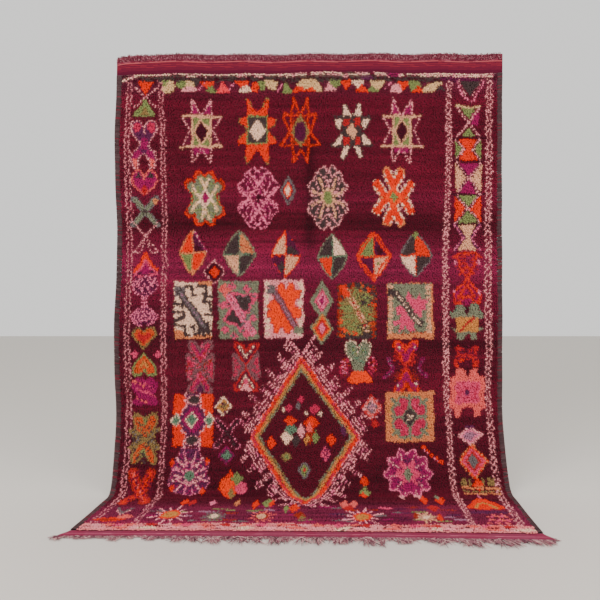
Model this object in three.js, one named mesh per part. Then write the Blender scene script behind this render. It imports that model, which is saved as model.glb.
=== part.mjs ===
// A hand-knotted wool pile rug of the Middle Atlas, held up by one short edge. It hangs
// nearly flat, leans forward near the foot, bends over at the floor and ends in a fringe.
// Millimetres. +X is to the right, +Y goes back from the viewer and +Z is up.

import * as THREE from 'three';

// The cloth as woven, laid out flat.
const WIDTH = 1850; // over both selvedges
const HEAD_BAND = 92; // flat-woven band at the held end
const PILE_LENGTH = 2367; // knotted field between the two bands
const FOOT_BAND = 48; // flat-woven band at the floor end
const LENGTH = HEAD_BAND + PILE_LENGTH + FOOT_BAND;

// Thicknesses, from the back of the weave.
const BAND_THICK = 4;
const SELVEDGE_THICK = 8;
const PILE_THICK = 15;
const SELVEDGE_WIDTH = 26;
const PILE_EDGE_RUN = 9; // how far the pile's cut edge slopes

// The way the cloth hangs, as a line seen from the side, from the held edge to the fringe.
// Each stretch turns forward by its own angle, spread evenly, so it is a line or an arc.
const STRETCHES = [
  { name: 'hang', length: 1606, turn: 0 },
  { name: 'lean', length: 450, turn: 23 },
  { name: 'bend', length: 75, turn: 67 },
  { name: 'floor', length: LENGTH - 1606 - 450 - 75, turn: 0 },
];
const LEAN_START = STRETCHES[0].length;
const BEND_START = LEAN_START + STRETCHES[1].length;
const BEND_END = BEND_START + STRETCHES[2].length;

// Unevenness of the hang and of the lie.
const HEAD_SAG = 5; // dips of the held edge between its fixings
const HEAD_SAG_PITCH = 310;
const CORNER_DROP = 22; // the left upper corner, as seen from the front, hangs lower
const CORNER_DROP_RUN = 190;
const HEAD_FADE = 260; // how far down the edge's dips can be seen
const FOLD_DEPTH = 8; // old fold line down the middle
const FOLD_HALF_WIDTH = 60;
const WAVE_DEPTH = 7; // slow waves across the hanging cloth
const LEFT_SIDE_BULGE = 14; // slack of the left selvedge
const LEFT_BULGE_PITCH = 920;
const FOOT_DRIFT = -45; // the floor end has slipped to the left
const FOOT_SKEW = 34; // the right corner reaches further forward
const CORNER_FLARE_LEFT = 26; // the foot band spreads at its ends
const CORNER_FLARE_RIGHT = 28;

// The fringe: locks of warp yarn on a narrow heading, all flat on the floor.
const FRINGE_GAP = 0.3;
const HEADING_DEPTH = 6;
const HEADING_HEIGHT = 3.6;
const LOCK_COUNT = 168;
const LOCK_ROOT_WIDTH = 6.4;
const LOCK_TIP_WIDTH = 2.6;
const LOCK_TIP_HEIGHT = 2.2;
const LOCK_STEPS = 3;
const LOCK_SWAY = 9; // neighbours lean together
const LOCK_SWAY_PITCH = 300;
const LOCK_CURL = 1.6; // and each curls a little by itself
const CORNER_FAN = 46; // the outermost locks fan outwards
// How long the locks are along the edge, from the left corner to the right.
const FRINGE_FULLNESS = [
  { across: -925, length: 44 },
  { across: -820, length: 20 },
  { across: -740, length: 46 },
  { across: -640, length: 17 },
  { across: -520, length: 42 },
  { across: -300, length: 50 },
  { across: 60, length: 52 },
  { across: 330, length: 58 },
  { across: 430, length: 30 },
  { across: 560, length: 56 },
  { across: 740, length: 62 },
  { across: 860, length: 44 },
  { across: 925, length: 30 },
];

const radians = THREE.MathUtils.degToRad;
const { clamp, lerp, smoothstep } = THREE.MathUtils;

// The side line at a distance along the cloth: its place and its heading, which is 0
// where the cloth hangs straight down and a right angle where it runs forward.
function sideLine(along) {
  let y = 0;
  let z = 0;
  let heading = 0;
  let start = 0;
  for (const stretch of STRETCHES) {
    const last = stretch === STRETCHES[STRETCHES.length - 1];
    const run = last ? Math.max(along - start, 0) : clamp(along - start, 0, stretch.length);
    const turned = radians(stretch.turn) * (run / stretch.length);
    if (stretch.turn === 0) {
      y -= run * Math.sin(heading);
      z -= run * Math.cos(heading);
    } else {
      const radius = stretch.length / radians(stretch.turn);
      y -= radius * (Math.cos(heading) - Math.cos(heading + turned));
      z -= radius * (Math.sin(heading + turned) - Math.sin(heading));
    }
    heading += turned;
    start += stretch.length;
  }
  return { y, z, heading };
}

const DROP = -sideLine(LENGTH).z;

// 1 on the hanging cloth and 0 from the bend on, so that what lies on the floor is flat.
function hanging(along) {
  return 1 - smoothstep(along, BEND_START - 320, BEND_START);
}

// How far the held edge hangs below a straight line.
function headSag(across) {
  const dips = HEAD_SAG * (1 - Math.cos((2 * Math.PI * (across + WIDTH / 2)) / HEAD_SAG_PITCH));
  const fromCorner = (across + WIDTH / 2) / CORNER_DROP_RUN;
  return 0.5 * dips + CORNER_DROP * Math.exp(-3 * fromCorner);
}

// Waves of the hanging cloth to and fro, and the soft furrow of the old fold.
function waves(across, along) {
  const broad = Math.sin(across / 290 + along / 520) * Math.sin(along / 430 + 0.6);
  const fine = 0.35 * Math.sin(across / 118 - along / 640);
  const furrow = Math.exp(-((across / FOLD_HALF_WIDTH) ** 2)) * smoothstep(along, 60, 260);
  return (WAVE_DEPTH * (broad + fine) - FOLD_DEPTH * furrow) * hanging(along);
}

// Sideways slack of the selvedges, the slip of the floor end and the flare of its corners.
function sideways(across, along) {
  const leftness = clamp(-across / (WIDTH / 2), 0, 1);
  const bulge = (1 - Math.cos((2 * Math.PI * along) / LEFT_BULGE_PITCH)) / 2;
  const onFloor = Math.max(along - BEND_END, 0) / (LENGTH - BEND_END);
  const inBand = smoothstep(along, LENGTH - FOOT_BAND, LENGTH);
  const flare = across < 0 ? -CORNER_FLARE_LEFT : CORNER_FLARE_RIGHT;
  return (
    -LEFT_SIDE_BULGE * leftness ** 3 * bulge * hanging(along) +
    FOOT_DRIFT * onFloor +
    flare * (Math.abs(across) / (WIDTH / 2)) ** 6 * inBand
  );
}

// A place on the cloth: across from its middle, along from the held edge, and lifted off
// the back of the weave.
function onCloth(across, along, lift) {
  const line = sideLine(along);
  const floorRun = Math.max(along - BEND_END, 0);
  const skew = FOOT_SKEW * (clamp(across / WIDTH + 0.5, 0, 1) ** 2) * (floorRun / (LENGTH - BEND_END));
  const outward = lift + waves(across, along);
  const dip = headSag(across) * Math.exp(-along / HEAD_FADE) * hanging(along);
  return new THREE.Vector3(
    across + sideways(across, along),
    line.y - outward * Math.cos(line.heading) - skew,
    DROP + line.z + outward * Math.sin(line.heading) - dip,
  );
}

// Thickness of the cloth: selvedges, flat-woven bands and the pile between them.
function clothThick(across, along) {
  const fromSide = WIDTH / 2 - Math.abs(across);
  const fromBand = Math.min(along - HEAD_BAND, LENGTH - FOOT_BAND - along);
  const ground = lerp(BAND_THICK, SELVEDGE_THICK, clamp(fromBand / PILE_EDGE_RUN, 0, 1));
  const pile = clamp(Math.min(fromSide - SELVEDGE_WIDTH, fromBand) / PILE_EDGE_RUN, 0, 1);
  return fromBand <= 0 ? BAND_THICK : lerp(ground, PILE_THICK, pile);
}

// A closed slab over flat cells. Each point has its place on the cloth and its thickness,
// and each cell lists four points, turning left as seen from the pile side.
function slab(points, cells) {
  const corners = [];
  for (const { across, along } of points) corners.push(...onCloth(across, along, 0).toArray());
  for (const { across, along, thick } of points) {
    corners.push(...onCloth(across, along, thick).toArray());
  }
  const faces = [];
  const quad = (a, b, c, d) => faces.push(a, b, c, a, c, d);
  const edges = new Set();
  for (const cell of cells) {
    const [a, b, c, d] = cell;
    quad(...cell.map((point) => point + points.length));
    quad(d, c, b, a);
    for (const [from, to] of [[a, b], [b, c], [c, d], [d, a]]) edges.add(`${from} ${to}`);
  }
  for (const edge of edges) {
    const [from, to] = edge.split(' ').map(Number);
    if (edges.has(`${to} ${from}`)) continue;
    quad(from, to, to + points.length, from + points.length);
  }
  const shape = new THREE.BufferGeometry();
  shape.setAttribute('position', new THREE.Float32BufferAttribute(corners, 3));
  shape.setIndex(faces);
  shape.computeVertexNormals();
  return shape;
}

// Even steps from one value to another, without the last.
function steps(from, to, count) {
  return Array.from({ length: count }, (_, i) => lerp(from, to, i / count));
}

// The cloth in one piece, with its selvedges, both bands and the pile.
function clothShape() {
  const half = WIDTH / 2;
  const pileSide = half - SELVEDGE_WIDTH;
  const pileTop = pileSide - PILE_EDGE_RUN;
  const acrossAt = [
    -half, -pileSide,
    ...steps(-pileTop, -FOLD_HALF_WIDTH * 1.5, 12),
    ...steps(-FOLD_HALF_WIDTH * 1.5, FOLD_HALF_WIDTH * 1.5, 6),
    ...steps(FOLD_HALF_WIDTH * 1.5, pileTop, 12),
    pileTop, pileSide, half,
  ];
  const pileEnd = LENGTH - FOOT_BAND;
  const alongAt = [
    0, HEAD_BAND / 2, HEAD_BAND,
    ...steps(HEAD_BAND + PILE_EDGE_RUN, LEAN_START, 14),
    ...steps(LEAN_START, BEND_START, 10),
    ...steps(BEND_START, BEND_END, 8),
    ...steps(BEND_END, pileEnd - PILE_EDGE_RUN, 2),
    pileEnd - PILE_EDGE_RUN, pileEnd, LENGTH,
  ];
  const points = [];
  for (const along of alongAt) {
    for (const across of acrossAt) points.push({ across, along, thick: clothThick(across, along) });
  }
  const cells = [];
  const row = acrossAt.length;
  for (let j = 0; j + 1 < alongAt.length; j++) {
    for (let i = 0; i + 1 < row; i++) {
      const upper = j * row + i;
      cells.push([upper + row, upper + row + 1, upper + 1, upper]);
    }
  }
  return slab(points, cells);
}

// Length of the locks at a place along the edge, read from the fullness table.
function lockLength(across) {
  const next = Math.max(FRINGE_FULLNESS.findIndex((row) => row.across >= across), 1);
  const before = FRINGE_FULLNESS[next - 1];
  const after = FRINGE_FULLNESS[next];
  const share = (across - before.across) / (after.across - before.across);
  return lerp(before.length, after.length, clamp(share, 0, 1));
}

// The fringe in one piece: a heading just clear of the cloth's end, and the locks it holds.
function fringeShape() {
  const points = [];
  const cells = [];
  const addPoint = (across, along, thick) => points.push({ across, along, thick }) - 1;
  const headingTop = LENGTH + FRINGE_GAP;
  const headingEnd = headingTop + HEADING_DEPTH;
  const pitch = WIDTH / LOCK_COUNT;
  let upper = addPoint(-WIDTH / 2, headingTop, HEADING_HEIGHT);
  let lower = addPoint(-WIDTH / 2, headingEnd, HEADING_HEIGHT);
  for (let lock = 0; lock < LOCK_COUNT; lock++) {
    const middle = -WIDTH / 2 + (lock + 0.5) * pitch;
    const side = middle / (WIDTH / 2);
    const lean = LOCK_SWAY * Math.sin(middle / LOCK_SWAY_PITCH * Math.PI)
      + CORNER_FAN * Math.sign(side) * Math.abs(side) ** 24;
    const uneven = 0.82 + 0.18 * Math.sin(lock * 2.4) + 0.12 * Math.sin(lock * 5.1);
    const length = lockLength(middle) * uneven;
    const curl = LOCK_CURL * Math.sin(lock * 1.7);
    const roots = [-0.5, 0.5].map((edge) =>
      addPoint(middle + edge * LOCK_ROOT_WIDTH, headingEnd, HEADING_HEIGHT));
    const uppers = [-0.5, 0.5].map((edge) =>
      addPoint(middle + edge * LOCK_ROOT_WIDTH, headingTop, HEADING_HEIGHT));
    cells.push([lower, roots[0], uppers[0], upper]);
    cells.push([roots[0], roots[1], uppers[1], uppers[0]]);
    let [left, right] = roots;
    for (let step = 1; step <= LOCK_STEPS; step++) {
      const share = step / LOCK_STEPS;
      const width = lerp(LOCK_ROOT_WIDTH, LOCK_TIP_WIDTH, share);
      const centre = middle + lean * share ** 1.5 + curl * Math.sin(share * Math.PI);
      const height = lerp(HEADING_HEIGHT, LOCK_TIP_HEIGHT, share);
      const [nextLeft, nextRight] = [-0.5, 0.5].map((edge) =>
        addPoint(centre + edge * width, headingEnd + length * share, height));
      cells.push([nextLeft, nextRight, right, left]);
      [left, right] = [nextLeft, nextRight];
    }
    lower = roots[1];
    upper = uppers[1];
  }
  const lowerEnd = addPoint(WIDTH / 2, headingEnd, HEADING_HEIGHT);
  const upperEnd = addPoint(WIDTH / 2, headingTop, HEADING_HEIGHT);
  cells.push([lower, lowerEnd, upperEnd, upper]);
  return slab(points, cells);
}

// Wool pile and weave, and undyed and dyed warp ends.
const pileWool = new THREE.MeshStandardMaterial({ color: 0x6b1530, roughness: 0.95, metalness: 0 });
const warpEnds = new THREE.MeshStandardMaterial({ color: 0xa06f7e, roughness: 0.9, metalness: 0 });

function piece(name, shape, material) {
  const mesh = new THREE.Mesh(shape, material);
  mesh.name = name;
  return mesh;
}

const rug = new THREE.Group();
rug.add(piece('rug_cloth', clothShape(), pileWool));
rug.add(piece('foot_fringe', fringeShape(), warpEnds));

// The origin is on the floor, under the middle of the rug's box.
const middle = new THREE.Box3().setFromObject(rug).getCenter(new THREE.Vector3());
rug.position.set(-middle.x, -middle.y, 0);

export default rug;
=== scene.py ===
import math

import bpy
import numpy as np
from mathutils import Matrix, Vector


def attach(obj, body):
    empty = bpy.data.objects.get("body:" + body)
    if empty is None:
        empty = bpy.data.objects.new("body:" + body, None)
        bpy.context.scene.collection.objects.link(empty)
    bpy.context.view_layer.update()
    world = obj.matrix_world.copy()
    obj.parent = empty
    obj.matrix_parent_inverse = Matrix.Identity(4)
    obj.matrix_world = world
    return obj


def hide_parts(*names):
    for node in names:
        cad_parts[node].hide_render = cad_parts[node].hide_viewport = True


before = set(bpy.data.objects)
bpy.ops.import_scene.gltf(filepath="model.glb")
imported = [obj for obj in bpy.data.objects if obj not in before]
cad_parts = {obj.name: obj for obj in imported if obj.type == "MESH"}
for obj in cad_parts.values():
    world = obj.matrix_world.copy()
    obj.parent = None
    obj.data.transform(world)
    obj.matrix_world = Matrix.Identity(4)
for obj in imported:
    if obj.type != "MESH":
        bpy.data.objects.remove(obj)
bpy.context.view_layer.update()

# The flat rug, in metres: a woven band at each end and the pile between them.
WIDTH = 1.850
HEAD_BAND = 0.092
PILE_LENGTH = 2.367
FOOT_BAND = 0.048
LENGTH = HEAD_BAND + PILE_LENGTH + FOOT_BAND
SELVEDGE_WIDTH = 0.026
FIELD_FOOT = HEAD_BAND + PILE_LENGTH

# The way it hangs, seen from the side: length of each stretch and how far it turns.
STRETCHES = ((1.606, 0.0), (0.450, math.radians(23)), (0.075, math.radians(67)), (LENGTH - 2.131, 0.0))
BEND_START = 2.056
BEND_END = 2.131
PAST_THE_END = 9.0
# the middle of the held edge, rightwards and backwards in the room, in metres
HELD_EDGE = (0.047743, 0.307533)

# The knots
COLUMNS = 350
ROWS = 385
PILE_WIDTH = WIDTH - 2 * SELVEDGE_WIDTH
KNOT_WIDTH = PILE_WIDTH / COLUMNS
KNOT_HEIGHT = PILE_LENGTH / ROWS
DROOP = 7.5  # mm that the tufts' ends hang below their knots
TUFT_LENGTH = 0.0178
TUFT_WIDTH = 0.0096
TUFT_DEPTH = 0.0050
GROUND_CELLS = (290, 310)
WEAVE_THICK = 0.0035
BAND_THICK = 0.004

camera_data = bpy.data.cameras.new("camera")
camera = bpy.data.objects.new("camera", camera_data)
bpy.context.scene.collection.objects.link(camera)
camera_data.sensor_width = 36.0
camera_data.lens = 33.0
camera_data.shift_x = 0.025
camera_data.shift_y = -0.01667
camera_data.clip_end = 40.0
camera.location = (-0.0703, -2.3355, 0.950)
camera.rotation_euler = (math.pi / 2, 0, 0)
bpy.context.scene.camera = camera


def smooth(value, low, high):
    """Rises softly from 0 at low to 1 at high."""
    share = np.clip((value - low) / (high - low), 0, 1)
    return share * share * (3 - 2 * share)


def side_line(along):
    """Where the cloth's back runs, seen from the side, and how far it is turned out of the upright."""
    y = np.zeros_like(along)
    z = np.zeros_like(along)
    heading = np.zeros_like(along)
    start = 0.0
    for stretch, turn in STRETCHES:
        run = np.clip(along - start, 0, stretch if turn or not start else PAST_THE_END)
        if turn:
            radius = stretch / turn
            turned = turn * run / stretch
            y = y - radius * (np.cos(heading) - np.cos(heading + turned))
            z = z - radius * (np.sin(heading + turned) - np.sin(heading))
            heading = heading + turned
        else:
            y = y - run * np.sin(heading)
            z = z - run * np.cos(heading)
        start += stretch
    return y, z, heading


EDGE_HEIGHT = -float(side_line(np.array([LENGTH]))[1][0])


def on_cloth(across, along, lift):
    """A place on the rug, and how far in front of its back, as a point in the room."""
    across = np.asarray(across, float)
    along = np.asarray(along, float)
    y, z, heading = side_line(along)
    hanging = 1 - smooth(along, BEND_START - 0.32, BEND_START)
    wave = np.sin(across / 0.29 + along / 0.52) * np.sin(along / 0.43 + 0.6)
    wave = wave + 0.35 * np.sin(across / 0.118 - along / 0.64)
    furrow = np.exp(-((across / 0.06) ** 2)) * smooth(along, 0.06, 0.26)
    out = lift + (0.007 * wave - 0.008 * furrow) * hanging
    sag = 0.0025 * (1 - np.cos(2 * np.pi * (across + WIDTH / 2) / 0.31))
    sag = sag + 0.022 * np.exp(-3 * (across + WIDTH / 2) / 0.19)
    sag = sag * np.exp(-along / 0.26) * hanging
    left = np.clip(-across * 2 / WIDTH, 0, 1)
    bulge = (1 - np.cos(2 * np.pi * along / 0.92)) / 2
    floor_run = np.maximum(along - BEND_END, 0)
    floor_share = floor_run / (LENGTH - BEND_END)
    flare = np.where(across < 0, -0.026, 0.028) * (np.abs(across) * 2 / WIDTH) ** 6
    sideways = -0.014 * left**3 * bulge * hanging - 0.045 * floor_share
    sideways = sideways + flare * smooth(along, LENGTH - FOOT_BAND, LENGTH)
    skew = 0.034 * np.clip(across / WIDTH + 0.5, 0, 1) ** 2 * floor_share
    x = HELD_EDGE[0] + across + sideways
    y = HELD_EDGE[1] + y - out * np.cos(heading) - skew
    z = EDGE_HEIGHT + z + out * np.sin(heading) - sag
    return np.stack(np.broadcast_arrays(x, y, z), -1)


def cloth_frame(across, along, lift):
    """The directions at a place on the rug: to its left edge, to its foot and out of its face."""
    step = 0.002
    to_left = on_cloth(across - step, along, lift) - on_cloth(across + step, along, lift)
    to_foot = on_cloth(across, along + step, lift) - on_cloth(across, along - step, lift)
    to_left /= np.linalg.norm(to_left, axis=-1, keepdims=True)
    out = np.cross(to_left, to_foot)
    out /= np.linalg.norm(out, axis=-1, keepdims=True)
    return to_left, np.cross(out, to_left), out


def as_light(colour):
    """Colour numbers as a dyer's card shows them, turned into light."""
    share = np.clip(np.asarray(colour, float) / 255, 0, 1)
    return np.where(share <= 0.04045, share / 12.92, ((share + 0.055) / 1.055) ** 2.4)


# The dyed yarns, as numbers from 0 to 255 for red, green and blue.
YARN = {
    "wine": (98, 20, 45), "dark": (66, 14, 29), "plum": (86, 22, 54), "violet": (88, 32, 66),
    "charcoal": (66, 50, 50), "slate": (104, 92, 92), "orange": (214, 42, 6), "flame": (230, 60, 3),
    "red": (172, 32, 36), "rust": (146, 40, 26), "tan": (200, 116, 74), "sand": (212, 152, 118),
    "cream": (230, 186, 158), "blush": (222, 138, 142), "pink": (206, 66, 102), "rose": (220, 106, 136),
    "magenta": (142, 20, 78), "salmon": (216, 88, 84), "sage": (116, 116, 94), "jade": (90, 116, 92),
    "moss": (118, 126, 74), "olive": (130, 104, 62), "gold": (186, 120, 60), "mauve": (150, 100, 120),
    "straw": (208, 166, 118), "shell": (216, 120, 122), "coral": (226, 60, 70), "berry": (178, 38, 72),
    "amber": (192, 70, 30), "garnet": (82, 16, 31), "taupe": (120, 72, 78), "petal": (240, 146, 154),
    "faded": (202, 118, 126),
}

# The wine ground was dyed in lots that differ a little, and each runs softly into the next; the lighter lots
# where the rug lies on the floor also hold painted sheen.
DYE_LOTS_AND_FLOOR_SHEEN = {
    "dusty": (86, 30, 48), "wine": (92, 18, 36), "bright": (105, 22, 46), "rosy": (123, 29, 61),
    "deep": (78, 15, 30), "faded": (106, 30, 56),
}

# The abrash: how far down the rug, in mm, a lot is at its full tone. The stops from 2250 mm on are on the
# part that lies on the floor; their lighter lots there are partly worn paler and partly painted sheen.
ABRASH_AND_FLOOR_SHEEN = (
    (100, "dusty"), (220, "wine"), (600, "wine"), (680, "bright"), (780, "deep"), (820, "deep"),
    (900, "bright"), (1000, "rosy"), (1040, "rosy"), (1120, "bright"), (1400, "deep"), (1500, "wine"),
    (1700, "wine"), (1850, "deep"), (2150, "deep"), (2250, "faded"), (2360, "faded"), (2400, "rosy"),
)

ROUND_THE_SHAPE = 28  # mm of knots looked at past a shape's outline, for knots that stray from their row


def soft_noise(rng, rows, columns, step_rows, step_columns):
    """Smooth random values, one wave or so for every given number of knots."""
    grid = rng.normal(0, 1, (rows // step_rows + 3, columns // step_columns + 3))
    for count, step in ((columns, step_columns), (rows, step_rows)):
        place = np.arange(count) / step
        low = place.astype(int)
        share = smooth(place - low, 0, 1)[:, None]
        grid = grid.T[low] * (1 - share) + grid.T[low + 1] * share
    return grid


class Loom:
    """The knots in place: across and down in mm, and the colour each is tied in, with painted shade along the
    fold crease down the middle.
    """

    def __init__(self, rng):
        self.rng = rng
        across = (np.arange(COLUMNS) + 0.5) * KNOT_WIDTH - PILE_WIDTH / 2
        down = HEAD_BAND + (np.arange(ROWS) + 0.5) * KNOT_HEIGHT
        self.across, self.down = np.meshgrid(across * 1000, down * 1000)
        shape = self.across.shape
        self.x = self.across + 2.4 * soft_noise(rng, *shape, 7, 8) + rng.normal(0, 0.7, shape)
        self.y = self.down + DROOP + 2.8 * soft_noise(rng, *shape, 6, 8) + rng.normal(0, 1.1, shape)
        stops = [row[0] for row in ABRASH_AND_FLOOR_SHEEN]
        tones = [DYE_LOTS_AND_FLOOR_SHEEN[row[1]] for row in ABRASH_AND_FLOOR_SHEEN]
        washes = [np.interp(self.down, stops, [tone[i] for tone in tones]) for i in range(3)]
        self.colour = np.stack(washes, 2)
        streaks = 0.09 * soft_noise(rng, *shape, 2, 80) + 0.06 * soft_noise(rng, *shape, 18, 30)
        self.colour *= (1 + streaks)[:, :, None]
        # painted shade: the ground is darkened along the fold crease down the middle of the hanging part
        painted_crease_shade = np.exp(-(((self.x - 1) / 23) ** 2))
        painted_crease_shade *= smooth(self.down, 300, 480) * (1 - smooth(self.down, 840, 1000))
        self.colour *= (1 - 0.27 * painted_crease_shade)[:, :, None]

    def patch(self, place, points, mirrored=False, upended=False, margin=0):
        """The knots round an outline: their place from its middle, and a view of their colours."""
        part = []
        for axis, folded, start, pitch in (
            (1, upended, HEAD_BAND, KNOT_HEIGHT), (0, mirrored, -PILE_WIDTH / 2, KNOT_WIDTH),
        ):
            values = [point[axis] for point in points]
            low, high = min(values), max(values)
            if folded:
                high = max(abs(low), abs(high))
                low = -high
            low = place[axis] + low - margin - ROUND_THE_SHAPE
            high = place[axis] + high + margin + ROUND_THE_SHAPE
            first = int((low / 1000 - start) / pitch)
            last = int((high / 1000 - start) / pitch) + 1
            part.append(slice(max(first, 0), max(last, 0)))
        u = self.x[tuple(part)] - place[0]
        v = self.y[tuple(part)] - place[1]
        return np.abs(u) if mirrored else u, np.abs(v) if upended else v, self.colour[tuple(part)]

    def box(self, place, half):
        """The knots round a box, with their places as shares of its half sizes."""
        u, v, colour = self.patch(place, [(-half[0], -half[1]), half])
        return u / half[0], v / half[1], colour

    def fill(self, points, yarn, place=(0, 0), mirrored=False, upended=False):
        """Fills an outline given in mm round a place, mirrored about it if asked."""
        u, v, colour = self.patch(place, points, mirrored, upended)
        inside = np.zeros(u.shape, bool)
        for (x0, y0), (x1, y1) in zip(points, points[1:] + points[:1]):
            if y0 != y1:
                crosses = (v < max(y0, y1)) & (v >= min(y0, y1))
                inside ^= crosses & (u < x0 + (v - y0) * (x1 - x0) / (y1 - y0))
        colour[inside] = YARN[yarn]

    def line(self, points, stroke, place=(0, 0), mirrored=False, upended=False):
        """A line of knots along points; a stroke is its width, its yarn and, if broken, its dash and gap."""
        width, yarn, *dashes = stroke
        u, v, colour = self.patch(place, points, mirrored, upended, width / 2)
        nearest = np.full(u.shape, 1e9)
        run = np.zeros(u.shape)
        start = 0.0
        for (x0, y0), (x1, y1) in zip(points, points[1:]):
            length = max(np.hypot(x1 - x0, y1 - y0), 1e-6)
            t = np.clip(((u - x0) * (x1 - x0) + (v - y0) * (y1 - y0)) / length**2, 0, 1)
            off = np.hypot(u - x0 - t * (x1 - x0), v - y0 - t * (y1 - y0))
            closer = off < nearest
            nearest = np.where(closer, off, nearest)
            run = np.where(closer, start + t * length, run)
            start += length
        inside = nearest < width / 2
        if dashes:
            inside &= run % sum(dashes) < dashes[0]
        colour[inside] = YARN[yarn]

    def weave(self, chart, middle=(0, 0), scale=(1, 1)):
        """Ties a chart, row by row, from the middle that is given or that an 'at' row sets."""
        for row in chart.strip().replace("\n ", " ").splitlines():
            tool, *words = row.split()
            folds = "|" in words or "+" in words, "+" in words
            strokes = []
            outlines = [[]]
            for word in words:
                if "," in word:
                    point = zip(word.split(","), scale)
                    outlines[-1].append(tuple(float(part) * size for part, size in point))
                elif word == ";":
                    outlines.append([])
                elif "/" in word:
                    strokes[-1] += [float(part) for part in word.split("/")]
                elif word in YARN:
                    strokes = strokes or [[]]
                    strokes[-1].append(word)
                elif word not in "|+":
                    strokes.append([float(word)])
            if tool == "at":
                middle = outlines[0][0]
            elif tool == "line":
                for points in outlines:
                    for stroke in strokes:
                        self.line(points, stroke, middle, *folds)
            elif tool == "ring" or tool == "fill" or tool == "edged":
                rims = [stroke[:2] if tool == "edged" else stroke for stroke in strokes]
                for points in outlines if tool != "fill" else ():
                    for stroke in rims:
                        self.line(points + points[:1], stroke, middle, *folds)
                for points in outlines if tool != "ring" else ():
                    self.fill(points, strokes[0][-1], middle, *folds)
            else:
                half, *places = outlines[0]
                yarns = [word for word in words if word in YARN]
                numbers = [stroke[0] for stroke in strokes if stroke[0] not in YARN]
                for u, v in places or [(0, 0)]:
                    TOOLS[tool](self, (middle[0] + u, middle[1] + v), half, yarns, *numbers)


def simple(inside):
    """A tool that ties the knots of one simple outline, given by its rule."""
    def tied(loom, place, half, yarns):
        u, v, colour = loom.box(place, half)
        colour[inside(u, v)] = YARN[yarns[0]]
    return tied


def speckle(loom, place, half, yarns, share):
    """Ties a share of the knots of an oval in another yarn, in short runs across."""
    u, v, colour = loom.box(place, half)
    picked = loom.rng.random((u.shape[0], u.shape[1] // 2 + 1)) < share
    picked = np.repeat(picked, 2, 1)[:, :u.shape[1]]
    colour[picked & (u**2 + v**2 < 1)] = YARN[yarns[0]]


def quartered(loom, place, half, yarns):
    """A diamond with swollen sides, cut in four by a cross, each quarter in its own colour."""
    edge, cross, *quarters = yarns
    u, v, colour = loom.patch(place, [(-half[0], -half[1]), half])

    def swollen(wide, tall):
        return (np.abs(u) / wide) ** 1.22 + (np.abs(v) / tall) ** 1.22 < 1

    colour[swollen(*half)] = YARN[edge]
    inside = swollen(half[0] - 7, half[1] - 10)
    colour[inside] = YARN[cross]
    for yarn, side in zip(quarters, ((-1, -1), (1, -1), (-1, 1), (1, 1))):
        colour[inside & (u * side[0] > 3) & (v * side[1] > 4)] = YARN[yarn]


def nested(loom, place, half, yarns, step):
    """Diamonds one inside the other."""
    for ring, yarn in enumerate(yarns):
        inner = (half[0] - ring * step, half[1] - ring * step * half[1] / half[0])
        TOOLS["diamond"](loom, place, inner, [yarn])


def parted(loom, place, half, yarns, waist=0):
    """A box cut by two dotted slanting lines into an hourglass and two side pieces."""
    ends, sides = yarns
    loom.weave(f"""
block 1,1 {sides}
fill {ends} + {-1 / half[0]},{-1 / half[1]} {waist / half[0]},{-1 / half[1]} 0.72,1 {-1 / half[0]},1
line 14 dark 8 blush 11/6 + {(waist + 2) / half[0]},0 0.9,1
""", place, half)


def lattice(loom, place, half, yarns):
    """A mottled trellis of crossing dashes with a wavy outline."""
    u, v, colour = loom.patch(place, [(-half[0], -half[1]), half])
    inside = (np.abs(u) < half[0] * (1 - 0.35 * np.abs(np.sin(v / half[1] * 3.0)))) & (np.abs(v) < half[1])
    one = (u + v * 0.62) % 40 < 17
    two = (u - v * 0.62) % 40 < 17
    colour[inside & one & (v % 34 < 24)] = YARN[yarns[0]]
    colour[inside & two & (v % 30 < 19)] = YARN[yarns[1]]


def blossom(loom, place, half, yarns, lobes, depth):
    """An oval with a scalloped edge."""
    u, v, colour = loom.box(place, half)
    edge = 1 - depth * (0.5 - 0.5 * np.cos(lobes * np.arctan2(v, u)))
    colour[np.hypot(u, v) < edge] = YARN[yarns[0]]


def star(loom, place, half, yarns):
    """Twelve rays round a heart, which may lie in a ring."""
    ray, heart, *ring = yarns
    for i in range(12):
        turn = i * np.pi / 6 + 0.2
        reach = half[0] * (1.0 if i % 2 else 0.74)
        ends = [(8 * np.cos(turn), 10 * np.sin(turn)), (reach * np.cos(turn), reach * 1.05 * np.sin(turn))]
        loom.line(ends, (9, ray), place)
    for yarn in ring:
        TOOLS["oval"](loom, place, (half[0] * 0.46, half[0] * 0.5), [yarn])
    TOOLS["oval"](loom, place, (half[0] * 0.32, half[0] * 0.36), [heart])


def hearts(loom, place, half, yarns):
    """A heart over an upturned heart, point to point, with a mottled piece at each side if it has a yarn."""
    heart, edge, mark, side_edge, *sides = yarns
    tall = half[1]
    for fork in (-1, 1):
        loom.weave(f"""
fill {edge} | 0,{-3 / tall} 36,.5 62,.78 58,.98 34,1 12,.9 0,.72
fill {heart} | 0,.14 30,.55 48,.78 44,.9 32,.9 0,.5
line 8 {mark} 18/5 | 0,.42 34,.82
""", place, (1, fork * tall))
    for side in sides:
        loom.weave(f"""
fill {side_edge} + 6,0 52,{tall * 0.58} 66,{tall * 0.5} 66,-1 6,-1
fill {side} + 24,0 54,{tall * 0.42} 60,{tall * 0.4} 60,-1 24,-1
speckle 20,{tall * 0.4} .34 {side_edge} -46,0 46,0
""", place)
    loom.weave(f"line 8 {side_edge} | 44,-58 0,0 44,58", place)


def spiky(loom, place, half, yarns, rows):
    """Small teeth of one yarn down both sides of a panel."""
    for step in range(-4, 5):
        for side in (-1, 1):
            spot = place[0] + side * (half[0] - 11), place[1] + step * half[1] / rows
            TOOLS["diamond"](loom, spot, (16, 15), yarns)


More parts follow.
